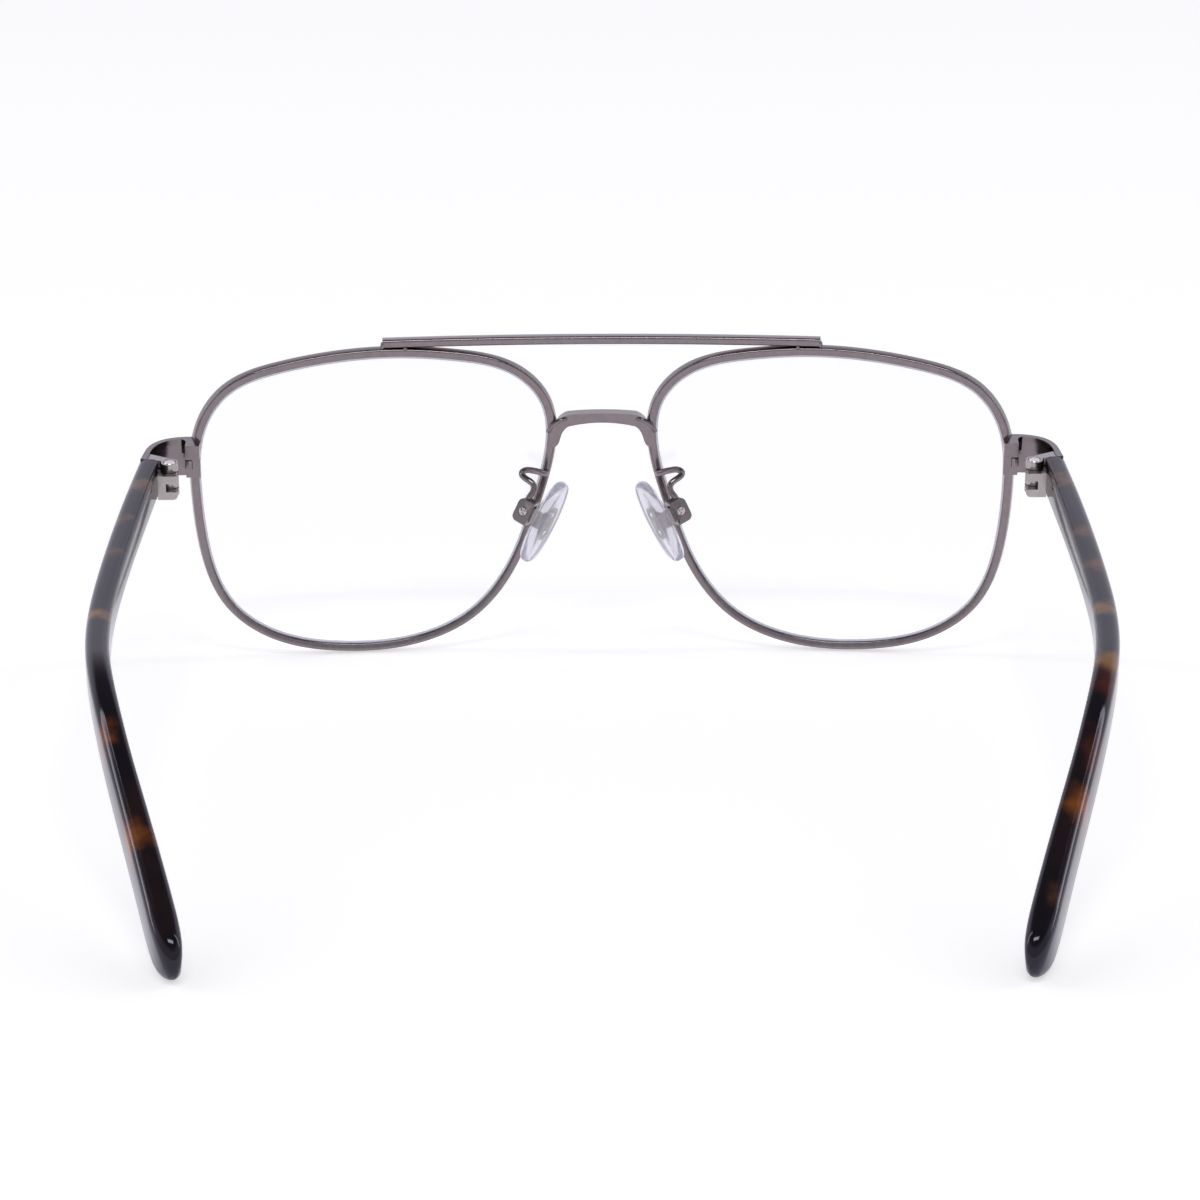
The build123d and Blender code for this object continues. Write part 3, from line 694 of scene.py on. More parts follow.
def amber_clouds() -> tuple[Patch, ...]:
    """Return the clouds that show on the upper edges of the temples, from the hinges back.

    Returns:
        The patches of both sides.
    """
    faint = (0.22, 0.10, 0.045)
    brown = (0.22, 0.09, 0.035)
    orange = (0.36, 0.105, 0.014)
    gold = (0.34, 0.17, 0.055)
    red = (0.12, 0.028, 0.012)
    right = (
        Patch((72.6, 44.0, 34.5), (2.4, 3.5, 2.5), faint, 0.9),
        Patch((73.5, 24.0, 32.5), (2.5, 2.5, 3.0), brown, 0.7),
        Patch((74.0, 13.0, 32.0), (2.5, 2.6, 3.0), brown, 0.7),
        Patch((74.6, -3.0, 32.0), (4.5, 1.9, 4.0), gold, 0.7),
        Patch((73.8, -20.5, 29.0), (4.5, 3.6, 6.0), gold, 0.85),
        Patch((72.8, -26.0, 27.0), (3.5, 3.5, 6.0), red, 0.8),
        Patch((69.5, -36.5, 21.0), (2.6, 4.6, 4.5), red, 0.9),
        Patch((66.9, -45.0, 16.5), (3.0, 3.6, 3.8), orange, 0.9),
        Patch((62.0, -58.0, 9.0), (2.0, 2.5, 2.5), brown, 0.5),
    )
    left = (
        Patch((-72.5, 43.0, 34.5), (3.0, 2.8, 2.5), faint, 0.9),
        Patch((-74.5, 30.0, 33.5), (1.8, 2.2, 2.5), faint, 0.9),
        Patch((-74.4, 18.0, 32.5), (2.0, 2.4, 2.5), brown, 0.6),
        Patch((-74.4, -4.0, 32.0), (4.5, 2.1, 4.0), gold, 0.8),
        Patch((-70.6, -33.5, 22.5), (2.6, 3.6, 4.0), orange, 0.8),
        Patch((-65.4, -49.8, 14.0), (2.6, 3.4, 3.6), orange, 0.95),
    )
    return right + left


@dataclass(frozen=True)
class FinishSet:
    """Every finish of the glasses, by the record's slot."""

    gunmetal: PlatedMetal = PlatedMetal("gunmetal", (0.25, 0.216, 0.215), roughness=0.18)
    nickel: PlatedMetal = PlatedMetal("nickel", (0.43, 0.40, 0.38), roughness=0.22, grain=6.0)
    screws: PlatedMetal = PlatedMetal("screw_steel", (0.72, 0.68, 0.66), roughness=0.16)
    wire: PlatedMetal = PlatedMetal("wire_steel", (0.4, 0.38, 0.37), roughness=0.3)
    lens: ClearPlastic = ClearPlastic(
        "lens_plastic", (0.985, 0.985, 0.992), roughness=0.0, index=1.5, shadow=(0.97, 0.97, 0.975)
    )
    lens_edge: ClearPlastic = ClearPlastic(
        "lens_edge", (0.93, 0.925, 0.98), roughness=0.25, index=1.5, shadow=(0.9, 0.9, 0.93), cloud=0.75,
        cloud_colour=(0.87, 0.86, 0.97),
    )
    silicone: ClearPlastic = ClearPlastic(
        "silicone", (0.97, 0.965, 0.99), roughness=0.015, index=1.36, shadow=(0.86, 0.85, 0.9), cloud=0.22,
        cloud_colour=(0.84, 0.83, 0.94),
    )

    def materials(self) -> dict[Finish, Material]:
        """Make the materials.

        Returns:
            The materials by slot.
        """
        finishes = {
            Finish.FRONT_METAL: self.gunmetal,
            Finish.HINGE_METAL: self.nickel,
            Finish.SCREW: self.screws,
            Finish.CORE_STEEL: self.wire,
            Finish.LENS: self.lens,
            Finish.SILICONE: self.silicone,
            Finish.ACETATE: TortoiseAcetate("tortoise_acetate", amber_clouds()),
        }
        return {slot: finish.material() for slot, finish in finishes.items()}


# The glasses


@dataclass(frozen=True)
class Bar:
    """A bar's section, in millimetres."""

    width: float
    depth: float
    corner: float
    corner_steps: int

    @classmethod
    def rounded(cls, radius: float, corner_steps: int) -> Bar:
        """Return a round bar's section."""
        return cls(2 * radius, 2 * radius, ROUND_SHARE * radius, corner_steps)


@dataclass
class Workshop:
    """What every piece needs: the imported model, the finishes and the shape trees."""

    frame: dict[str, Any]
    materials: dict[Finish, Material]
    bars: ShapeTree
    screws: ShapeTree
    bar_angle: float = 50.0

    def body_of(self, node: str) -> str:
        """Return the body that a node belongs to."""
        for body, nodes in self.frame["record"]["behaviour"]["bodies"].items():
            if node in nodes:
                return body
        raise KeyError(node)

    def slot_of(self, node: str) -> Finish:
        """Return the material slot of a node."""
        for entry in self.frame["record"]["subparts"]:
            if entry["node"] == node:
                return Finish(entry["material_slot"])
        raise KeyError(node)

    def joint(self, name: str) -> tuple[Array, Array]:
        """Return a joint's place in millimetres and its axis."""
        for joint in self.frame["joints"]:
            if joint["name"] == name:
                return np.array(joint["pos_m"]) / MM, np.array(joint["axis"], float)
        raise KeyError(name)

    def dress(self, piece: Object, nodes: Sequence[str], finish: Finish, angle: float | None = None) -> None:
        """Give a piece its finish and body, and let it stand for its nodes.

        Args:
            piece: The piece.
            nodes: The CAD nodes that it stands for, all on one body.
            finish: Its material slot.
            angle: The sharpest edge, in degrees, that is shaded smooth, or None where it is shaded.
        """
        if angle is not None:
            shade(piece.data, angle)
        piece.data.materials.clear()
        piece.data.materials.append(self.materials[finish])
        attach(piece, self.body_of(nodes[0]))
        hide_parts(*nodes)
        log.info("%s: %d faces for %s", piece.name, len(piece.data.polygons), ", ".join(nodes))

    def sweep(self, name: str, side: Side, places: Array, facing: Array, bar: Bar) -> Object:
        """Sweep a bar of the front's metal along a line.

        Args:
            name: The new object's name.
            side: The side.
            places: The line on the right-hand side, in millimetres.
            facing: The direction of the bar's depth at each point.
            bar: The bar's section.

        Returns:
            The bar, not dressed yet.
        """
        seed = path_mesh(name + "_path", side.turned(places), side.turned(facing))
        sizes = {
            "Width": bar.width * MM, "Depth": bar.depth * MM, "Corner": bar.corner * MM,
            "Corner Steps": bar.corner_steps,
        }
        return self.bars.grow(name, seed, sizes, self.materials[Finish.FRONT_METAL])


@dataclass(frozen=True)
class EyeShape:
    """The eye's outline on its sphere, and what is placed from it, on the right-hand side."""

    eye_width: float = 57.2
    eye_height: float = 49.2
    lens_spacing: float = 73.8
    front_tilt: float = 3.0
    lens_wrap: float = 4.0
    base_radius: float = 130.0
    rim_wall: float = 1.3
    rim_depth: float = 1.85
    hinge_offset: Point = (3.15, -8.7, -1.21)
    # Across and up, from the lens middle, as shares of half the eye's width and half its height
    rim_shares: tuple[tuple[float, float], ...] = (
        (0.996, 0.361), (0.951, 0.573), (0.818, 0.780), (0.497, 0.923), (-0.154, 1.000),
        (-0.483, 0.976), (-0.818, 0.870), (-0.972, 0.675), (-0.997, 0.313), (-0.923, -0.020),
        (-0.780, -0.455), (-0.538, -0.797), (-0.245, -0.955), (0.196, -0.996), (0.591, -0.890),
        (0.829, -0.671), (0.969, -0.224), (0.9983, 0.147),
    )

    def axes(self) -> tuple[Array, Array, Array]:
        """Work out the lens frame's axes.

        Returns:
            The axes: outward, up and back.
        """
        tilt, wrap = math.radians(self.front_tilt), math.radians(self.lens_wrap)
        ahead = np.array([math.sin(wrap), math.cos(wrap) * math.cos(tilt), -math.cos(wrap) * math.sin(tilt)])
        out = unit(np.cross(ahead, (0, 0, 1)))
        return out, np.cross(-ahead, out), -ahead

    def centre(self) -> Array:
        """Work out where the lens is.

        Returns:
            The lens front's middle, before the shift to the model's origin.
        """
        tilt = math.radians(self.front_tilt)
        level = (self.eye_height + self.rim_wall) / 2 * math.cos(tilt) + self.rim_depth / 2 * math.sin(tilt)
        return np.array([self.lens_spacing / 2, level * math.tan(tilt) + self.rim_wall, level])

    def sphere_centre(self) -> Array:
        """Return the middle of the sphere that the lens lies on."""
        return self.centre() + self.axes()[2] * self.base_radius

    def place(self, across: Array, up: Array, radius: float | None = None) -> Array:
        """Return the point of a sphere that lies behind a place of the lens.

        Args:
            across: How far outward from the lens middle.
            up: How far up.
            radius: The sphere's radius, or None for the lens's own.

        Returns:
            The point in millimetres, before the shift to the model's origin.
        """
        out, upward, back = self.axes()
        across, up = np.asarray(across, float)[..., None], np.asarray(up, float)[..., None]
        sag = self.base_radius - np.sqrt(self.base_radius**2 - across**2 - up**2)
        point = self.centre() + across * out + up * upward + sag * back
        middle = self.sphere_centre()
        return middle + (point - middle) * ((radius or self.base_radius) / self.base_radius)

    def at_share(self, across: Any, up: Any, radius: float | None = None) -> Array:
        """Return the place at shares of the eye's half width and half height."""
        return self.place(across * self.eye_width / 2, up * self.eye_height / 2, radius)

    def outline(self, steps: int) -> tuple[Array, Array]:
        """Return the eyewire's closed centre line and its directions."""
        return cubic_through(self.at_share(*np.array(self.rim_shares).T), steps, closed=True)

    def hinge_place(self) -> Array:
        """Return the hinge's place before the shift to the model's origin."""
        return self.at_share(*self.rim_shares[0]) + np.array(self.hinge_offset)


@dataclass
class Fitted:
    """A sub-assembly that is placed from the eye's outline."""

    shop: Workshop
    shape: EyeShape
    shift: Array


@dataclass
class Eyewires(Fitted):
    """The two metal rims, as bars swept round the lenses and open at the closing blocks."""

    corner: float = 0.34
    corner_steps: int = 5
    steps: int = 480

    def build(self, side: Side) -> None:
        """Make one rim.

        Args:
            side: The side.
        """
        # Without its first point the line stays open by two steps, where the rim is split
        places = self.shape.outline(self.steps)[0][1:]
        facing = unit(self.shape.sphere_centre() - places)
        bar = Bar(self.shape.rim_wall, self.shape.rim_depth, self.corner, self.corner_steps)
        piece = self.shop.sweep(side.prefix + "eyewire", side, places + self.shift, facing, bar)
        self.shop.dress(piece, [side.prefix + "rim"], Finish.FRONT_METAL, self.shop.bar_angle)


@dataclass
class Lenses(Fitted):
    """The two clear lenses, each an even shell with a bevelled edge held in its rim."""

    frosted: Material
    thickness: float = 1.3
    inset: float = 0.31
    bevel: float = 0.66
    flat: float = 0.3
    first_share: float = 0.0004
    steps: int = 240
    rings: int = 22
    smooth_angle: float = 25.0

    def build(self, side: Side) -> None:
        """Make one lens.

        Args:
            side: The side.
        """
        places, along = self.shape.outline(self.steps)
        inward = unit(np.cross(self.shape.sphere_centre() - places, along))
        out, upward, _ = self.shape.axes()

        def ring(inset: float, offset: float, share: float = 1.0) -> Array:
            """Move the lens edge.

            Args:
                inset: How far inward along the lens.
                offset: How far out along the sphere's radius.
                share: What it is shrunk to, about the lens middle.

            Returns:
                The ring's points.
            """
            edge = places + inward * inset - self.shape.centre()
            across, up = edge @ out, edge @ upward
            return self.shape.place(across * share, up * share, self.shape.base_radius + offset) + self.shift

        half = self.thickness / 2
        shares = np.sqrt(np.linspace(self.first_share, 1.0, self.rings))
        front = [ring(self.inset + self.bevel, half, share) for share in shares]
        back = [ring(self.inset + self.bevel, -half, share) for share in shares[::-1]]
        edge = [ring(self.inset, self.flat / 2), ring(self.inset, -self.flat / 2)]
        piece = ringed_object(side.prefix + "lens_shell", front + edge + back, side)
        self.shop.dress(piece, [side.prefix + "lens"], Finish.LENS, self.smooth_angle)
        piece.data.materials.append(self.frosted)
        for face in piece.data.polygons:
            rings = {number // self.steps for number in face.vertices}
            if max(rings) > self.rings - 1 and min(rings) < self.rings + 2 and len(face.vertices) == 4:
                face.material_index = 1


@dataclass
class Temple:
    """An acetate temple with rounded edges, deepest behind the ear."""

    shop: Workshop
    thickness: float = 3.7
    height: float = 5.9
    length: float = 128.0
    straight: float = 69.6
    bend_radius: float = 40.0
    bend: float = 23.9
    sweep: float = 10.0
    front_offset: float = 3.25
    front: float = 0.6
    tip_rounding: float = 4.5
    tip_taper: float = 8.5
    tip_power: float = 2.6
    corner: float = 1.3
    leaf_near: float = 1.4
    leaf_far: float = 1.85
    leaf_back: float = 2.65
    leaf_half: float = 2.79
    # Shares of the length, the sweep, the height and the thickness, from the hinge back
    stations: tuple[tuple[float, float, float, float], ...] = (
        (0.000, 0.000, 1.00, 0.92), (0.094, 0.085, 0.98, 0.98), (0.205, 0.168, 0.95, 1.00),
        (0.330, 0.232, 0.92, 0.99), (0.440, 0.240, 0.95, 0.97), (0.535, 0.150, 1.03, 0.97),
        (0.630, -0.050, 1.12, 0.99), (0.725, -0.340, 1.19, 1.02), (0.820, -0.680, 1.25, 1.08),
        (0.905, -0.978, 1.28, 1.13), (0.965, -1.180, 1.28, 1.14), (1.060, -1.480, 1.28, 1.05),
    )
    steps: int = 200
    tip_steps: int = 24
    corner_steps: int = 6
    table_steps: int = 900
    corner_most: float = 0.98
    squeeze_least: float = 0.03
    slim_least: float = 0.12
    pocket_ahead: float = 1.0
    smooth_angle: float = 40.0

    def edge(self, along: float, inset: float) -> tuple[float, float]:
        """Find a place in the temple's side view.

        Args:
            along: How far along the top edge.
            inset: How far below it.

        Returns:
            The place, forward and up, in the hinge's own frame.
        """
        bend = math.radians(self.bend)
        turn = min(max(along - self.straight, 0.0) / self.bend_radius, bend)
        tail = max(along - self.straight - self.bend_radius * bend, 0.0)
        back = min(along, self.straight) + self.bend_radius * math.sin(turn) + tail * math.cos(turn)
        down = self.bend_radius * (1 - math.cos(turn)) + tail * math.sin(turn)
        return self.front - back + inset * math.sin(turn), self.height / 2 - down - inset * math.cos(turn)

    def section(self, half_wide: float, half_tall: float, corner: float) -> Array:
        """Return a rounded box as shares of its half width and half height.

        Args:
            half_wide: Half the section's width.
            half_tall: Half its height.
            corner: The radius of its corners.

        Returns:
            The ring's points, x outward and y up.
        """
        corner = min(corner, half_wide * self.corner_most, half_tall * self.corner_most)
        ring = []
        for quarter, (sx, sy) in enumerate(((1, 1), (-1, 1), (-1, -1), (1, -1))):
            for step in range(self.corner_steps + 1):
                angle = math.radians(90 * (quarter + step / self.corner_steps))
                ring.append((
                    (sx * (half_wide - corner) + corner * math.cos(angle)) / half_wide,
                    (sy * (half_tall - corner) + corner * math.sin(angle)) / half_tall,
                ))
        return np.array(ring)

    def rings(self) -> list[Array]:
        """Work out the right-hand temple's shape.

        Returns:
            Its rings of points, in the hinge's own frame.
        """
        rows = np.array(self.stations)
        places = rows[:, 0] * self.length
        middles = np.array([self.edge(s, h * self.height / 2)[0] for s, h in zip(places, rows[:, 2])])
        sides = self.front_offset + rows[:, 1] * self.sweep
        half = rows[:, 3] * self.thickness / 2
        knots = ((middles, sides + half), (middles, sides - half), (places, rows[:, 2] * self.height))
        outer, inner, tall = (cubic_through(np.column_stack(pair), self.table_steps)[0] for pair in knots)
        tip = places[-2]
        tip_tall = float(rows[-2, 2] * self.height)
        rings = []
        for number in range(self.steps + self.tip_steps):
            if number < self.steps:
                along, squeeze = tip * number / (self.steps - 1), 1.0
            else:
                angle = math.pi / 2 * (number - self.steps + 1) / self.tip_steps
                along = tip + self.tip_rounding * math.sin(angle)
                squeeze = max(math.cos(angle), self.squeeze_least)
            full = tip_tall if along > tip else float(np.interp(along, tall[:, 0], tall[:, 1]))
            near_end = max(1 - (tip + self.tip_rounding - along) / self.tip_taper, 0.0)
            slim = max((1 - near_end**self.tip_power) ** (1 / self.tip_power), self.slim_least)
            corner = self.corner + near_end * (self.thickness / 2 - self.corner)
            half_tall = full / 2 * squeeze
            ring = []
            for across, up in self.section(self.thickness / 2, half_tall, corner):
                y, z = self.edge(along, full / 2 - up * half_tall)
                out, near = (float(np.interp(-y, -line[:, 0], line[:, 1])) for line in (outer, inner))
                ring.append(((out + near) / 2 + across * slim * (out - near) / 2, y, z))
            rings.append(np.array(ring))
        return rings

    def build(self, side: Side) -> None:
        """Make one temple, with the pocket for its hinge leaf.

        Args:
            side: The side.
        """
        origin, _ = self.shop.joint(FOLD)
        frame = hinge_axes()
        rings = [ring @ frame + origin for ring in self.rings()]
        piece = ringed_object(side.prefix + "temple_arm", rings, side)
        ahead = self.front + self.pocket_ahead
        outline = (
            (-self.leaf_near, ahead), (-self.leaf_near, -self.leaf_back), (self.leaf_far, -self.leaf_back),
            (self.leaf_far, ahead),
        )
        box = [
            np.array([(x, y, level) for x, y in outline]) @ frame + origin
            for level in (-self.leaf_half, self.leaf_half)
        ]
        cutter = ringed_object("leaf_pocket", box, side)
        pocket = piece.modifiers.new("pocket", "BOOLEAN")
        pocket.operation = "DIFFERENCE"
        pocket.object = cutter
        pocket.solver = "EXACT"
        settle(piece)
        bpy.data.objects.remove(cutter)
        self.shop.dress(piece, [side.prefix + "temple"], Finish.ACETATE, self.smooth_angle)


@dataclass
class TopBar(Fitted):
    """The bowed bar soldered across the tops of both rims, with beads at its ends."""

    short: float = 2.0
    height: float = 1.35
    depth: float = 2.1
    bow: float = 1.3
    arch: float = 0.15
    seat: float = -0.1
    corner: float = 0.42
    corner_steps: int = 5
    # How far in from the bar's end, behind it and below it, and the half width and half height
    beads: tuple[tuple[float, float, float, float, float], ...] = (
        (0.05, 0.8, 0.2, 0.36, 0.62), (3.6, 0.82, 0.78, 0.34, 0.3),
    )
    bead_sides: int = 20
    bead_rings: int = 12
    steps: int = 61

    def build(self) -> None:
        """Make the bar."""
        half = self.shape.lens_spacing / 2 - self.short
        rest = self.shape.place(-self.short, self.shape.eye_height / 2)
        level = rest[2] + (self.shape.rim_wall + self.height) / 2 - self.seat
        across = np.linspace(-half, half, self.steps)
        ahead = 1 - (across / half) ** 2
        places = np.column_stack([across, rest[1] + self.bow * ahead, level + self.arch * ahead]) + self.shift
        turn = 2 * self.bow * across / half**2
        facing = unit(np.column_stack([turn, np.ones(self.steps), np.zeros(self.steps)]))
        bar = Bar(self.height, self.depth, self.corner, self.corner_steps)
        piece = self.shop.sweep("upper_bar", Side.RIGHT, places, facing, bar)
        work = bmesh.new()
        work.from_mesh(piece.data)
        for inward, behind, below, wide, tall in self.beads:
            x = half - inward
            y = rest[1] + self.bow * (1 - (x / half) ** 2) - behind
            size = Matrix.Diagonal((wide * MM, wide * MM, tall * MM, 1.0))
            for side in Side:
                centre = (side.turned((x, y, level - below)) + self.shift) * MM
                bmesh.ops.create_uvsphere(
                    work, u_segments=self.bead_sides, v_segments=self.bead_rings, radius=1.0,
                    matrix=Matrix.Translation(centre) @ size,
                )
        work.to_mesh(piece.data)
        work.free()
        self.shop.dress(piece, ["top_bar"], Finish.FRONT_METAL, self.shop.bar_angle)


@dataclass
class NoseSupport(Fitted):
    """The looped pad arms and the soft nose pads that rock on them."""

    root_shares: tuple[float, float] = (-0.975, 0.175)
    pad_offset: Point = (0.18, -7.6, -5.64)
    lean: float = 24.5
    splay: float = 25.0
    box_distance: float = 3.7
    box_length: float = 4.0
    box_depth: float = 2.7
    seat_share: float = 0.25
    arm_radius: float = 0.52
    arm_reach: float = 3.8
    arm_rise: float = 1.36
    arm_shares: tuple[Point, ...] = (
        (0.19, 0.16, 0.31), (0.56, 0.32, 0.80), (0.88, 0.46, 1.00), (1.00, 0.60, 0.84),
        (0.87, 0.74, 0.50), (0.64, 0.84, 0.19), (0.49, 0.91, -0.27), (0.53, 0.96, -0.94),
    )
    arm_steps: int = 90
    arm_sides: int = 6
    pad_length: float = 14.5
    pad_width: float = 8.4
    pad_thickness: float = 2.2
    end_radius: float = 3.4
    edge_radius: float = 0.9
    dome: float = 0.16
    outline_steps: int = 96
    edge_steps: int = 10
    face_steps: int = 8
    middle_share: float = 0.05
    smooth_angle: float = 60.0

    def root(self) -> Array:
        """Return the place on the back of the rim where the arm starts."""
        return self.shape.at_share(*self.root_shares, self.shape.base_radius - self.shape.rim_depth / 2)

    def pad_axes(self) -> Array:
        """Work out the pad's axes.

        Returns:
            The axes as rows: up the pad, across it and out of its face.
        """
        lean, splay = math.radians(self.lean), math.radians(self.splay)
        upward = np.array([-math.sin(lean), 0.0, math.cos(lean)])
        face = unit(np.cross(upward, (-math.sin(splay), math.cos(splay), 0.0)))
        return np.array([upward, np.cross(face, upward), face])

    def build_arm(self, side: Side) -> None:
        """Make one pad arm.

        Args:
            side: The side.
        """
        root, (upward, across, face) = self.root(), self.pad_axes()
        backward = unit(self.shape.sphere_centre() - root)
        box = root + np.array(self.pad_offset) - face * self.box_distance
        box_ahead = np.cross(-across, upward)
        end = box + upward * self.box_length / 2 - box_ahead * self.box_depth * self.seat_share / 2
        reach = np.array([self.arm_reach, end[1] - root[1], self.arm_rise])
        points = np.vstack([root, root + np.array(self.arm_shares) * reach, end])
        places, along = cubic_through(points, self.arm_steps, ends=(backward, -upward))
        facing = [np.cross(along[0], (0.0, 0.0, 1.0))]
        for heading in along[1:]:
            facing.append(facing[-1] - heading * (facing[-1] @ heading))
        bar = Bar.rounded(self.arm_radius, self.arm_sides)
        name = side.prefix + "arm_wire"
        piece = self.shop.sweep(name, side, places + self.shift, unit(np.array(facing)), bar)
        self.shop.dress(piece, [side.prefix + "pad_arm"], Finish.FRONT_METAL, self.shop.bar_angle)

    def outline(self, inset: float) -> Array:
        """Return the pad's oval of four arcs, moved inward by an inset.

        Args:
            inset: How far inward.

        Returns:
            The points, up the pad and across it.
        """
        top, wide = self.pad_length / 2, self.pad_width / 2
        end_centre = top - self.end_radius
        side_radius = (end_centre**2 + wide**2 - self.end_radius**2) / (2 * (wide - self.end_radius))
        change = math.atan2(side_radius - wide, end_centre)
        points = []
        for number in range(self.outline_steps):
            angle = 2 * math.pi * (number + 0.5) / self.outline_steps
            sx, sy = math.copysign(1, math.cos(angle)), math.copysign(1, math.sin(angle))
            quarter = math.atan2(abs(math.sin(angle)), abs(math.cos(angle)))
            if quarter < change:
                radius, middle = self.end_radius - inset, (end_centre, 0.0)
            else:
                radius, middle = side_radius - inset, (0.0, wide - side_radius)
            up, across = middle[0] + radius * math.cos(quarter), middle[1] + radius * math.sin(quarter)
            points.append((sx * up, sy * across))
        return np.array(points)

    def build_pad(self, side: Side) -> None:
        """Make one soft pad.

        Args:
            side: The side.
        """
        axes = self.pad_axes()
        centre = self.root() + np.array(self.pad_offset) + self.shift
        straight = self.pad_thickness / 2 - self.edge_radius - self.dome
        inner = self.outline(self.edge_radius)
        rings: list[tuple[Array, float]] = []
        for sign in (-1, 1):
            half: list[tuple[Array, float]] = []
            for step in range(self.face_steps):
                size = math.sqrt(step / self.face_steps) if step else self.middle_share
                rise = self.dome * (1 - step / self.face_steps)
                half.append((inner * size, sign * (straight + self.edge_radius + rise)))
            for step in range(self.edge_steps):
                angle = math.radians(90 * (1 - step / self.edge_steps))
                inset = self.edge_radius * (1 - math.cos(angle))
                half.append((self.outline(inset), sign * (straight + self.edge_radius * math.sin(angle))))
            rings += half[::-sign]
        shaped = [
            np.column_stack([ring, np.full(len(ring), level)]) @ axes + centre for ring, level in rings
        ]
        piece = ringed_object(side.prefix + "soft_pad", shaped, side)
        self.shop.dress(piece, [side.prefix + "nose_pad"], Finish.SILICONE, self.smooth_angle)


@dataclass(frozen=True)
class ScrewKind:
    """One kind of screw, with its place on the right-hand side."""

    name: str
    joint: str
    offset: Point
    aim: Point
    slot: Point
    head_radius: float
    head_height: float
    head_bevel: float
    shank_radius: float
    shank_length: float
    slot_width: float = 0.3
    slot_depth: float = 0.25
    cross: bool = False


@dataclass
class Screws:
    """The hinge, closing and pad screws, one tree with sizes for each kind."""

    shop: Workshop
    pad_axes: Array
    smooth_angle: float = 30.0

    def frames(self) -> dict[str, Array]:
        """Work out the axes that the screws' offsets follow.

        Returns:
            Each joint's own axes, as rows.
        """
        upward, across, _ = self.pad_axes
        pad = np.array([upward, np.cross(-across, upward), -across])
        return {FOLD: hinge_axes(), "right_pad_rock": pad}

    def kinds(self) -> tuple[ScrewKind, ...]:
        """Return the three kinds of screw."""
        return (
            ScrewKind(
                "hinge_screw", FOLD, offset=(0, 0, 2.69), aim=(0, 0, 1), slot=(0.35, 1, 0),
                head_radius=0.95, head_height=0.5, head_bevel=0.12, shank_radius=0.6, shank_length=4.88,
            ),
            ScrewKind(
                "closing_screw", FOLD, offset=(-3.1, 6.797, -2.7), aim=(0, 0, -1), slot=(1, 0, 0),
                head_radius=0.6, head_height=0.5, head_bevel=0.08, shank_radius=0.4, shank_length=2.747,
            ),
            ScrewKind(
                "pad_screw", "right_pad_rock", offset=(0, 0, 1.15), aim=(0, 0, 1), slot=(0.7, 0.7, 0),
                head_radius=0.72, head_height=0.3, head_bevel=0.1, shank_radius=0.5, shank_length=1.9,
                cross=True,
            ),
        )

    def build(self) -> None:
        """Make every screw, one piece for each kind."""
        for kind in self.kinds():
            origin, _ = self.shop.joint(kind.joint)
            frame = self.frames()[kind.joint]
            place = origin + np.array(kind.offset) @ frame
            seed = bpy.data.meshes.new(kind.name + "_points")
            seed.from_pydata([(side.turned(place) * MM).tolist() for side in Side], [], [])
            for label, way in (("aim", kind.aim), ("slot", kind.slot)):
                store(seed, label, np.array([side.turned(np.array(way) @ frame) for side in Side]))
            sizes = {label: getattr(kind, label.lower().replace(" ", "_")) * MM for label in SCREW_LENGTHS}
            sizes["Cross Slot"] = kind.cross
            piece = self.shop.screws.grow(kind.name + "s", seed, sizes, self.shop.materials[Finish.SCREW])
            nodes = [side.prefix + kind.name for side in Side]
            self.shop.dress(piece, nodes, Finish.SCREW, self.smooth_angle)


@dataclass
class Ridges(Fitted):
    """Rounded ridges and barrels raised on forged pieces, as round bars along short lines."""

    bridge_rise: float = 14.6
    foot_width: float = 3.0
    foot_bite: float = 0.2
    foot_proud: float = 0.3
    cuff_radius: float = 0.38
    cuff_line: tuple[Point, ...] = (
        (3.25, 0.3, -3.0), (2.85, 0.02, -2.2), (2.1, 0.0, -1.5), (1.1, 0.05, -1.0), (0.3, 0.6, -0.85),
    )
    barrel_radius: float = 0.62
    barrel_line: tuple[Point, ...] = ((-2.43, 6.4, 0.32), (-2.43, 6.4, -0.4), (-2.43, 6.4, -1.12))
    steps: int = 40
    sides: int = 6

    def bar(self, name: str, points: Array, radius: float, side: Side) -> Object:
        """Grow one round bar.

        Args:
            name: Its name.
            points: The line on the right-hand side, in millimetres.
            radius: The bar's radius in millimetres.
            side: The side.

        Returns:
            The bar as its own object.
        """
        places, along = cubic_through(points, self.steps)
        facing = unit(np.cross(along, (0.0, 1.0, 0.0)))
        return self.shop.sweep(name, side, places, facing, Bar.rounded(radius, self.sides))

    def cuffs(self) -> list[Object]:
        """Make the raised edges of the bridge feet.

        Returns:
            One bar for each side.
        """
        foot = self.shape.place(-self.shape.eye_width / 2, self.bridge_rise)
        knee = foot[0] + self.foot_bite - self.foot_width
        back = foot[1] - self.shape.rim_depth / 2 - self.foot_proud
        top = self.shape.centre()[2] + self.bridge_rise
        points = np.array(self.cuff_line) + (knee, back, top) + self.shift
        return [self.bar(side.prefix + "cuff", points, self.cuff_radius, side) for side in Side]

    def barrel(self, side: Side) -> list[Object]:
        """Make the rounded barrel of a closing block's screw hole.

        Args:
            side: The side.

        Returns:
            The bar, in a list.
        """
        origin, axis = self.shop.joint(FOLD)
        frame = np.array([(1, 0, 0), np.cross(axis, (1, 0, 0)), axis])
        points = np.array(self.barrel_line) @ frame + origin
        return [self.bar(side.prefix + "barrel", points, self.barrel_radius, side)]


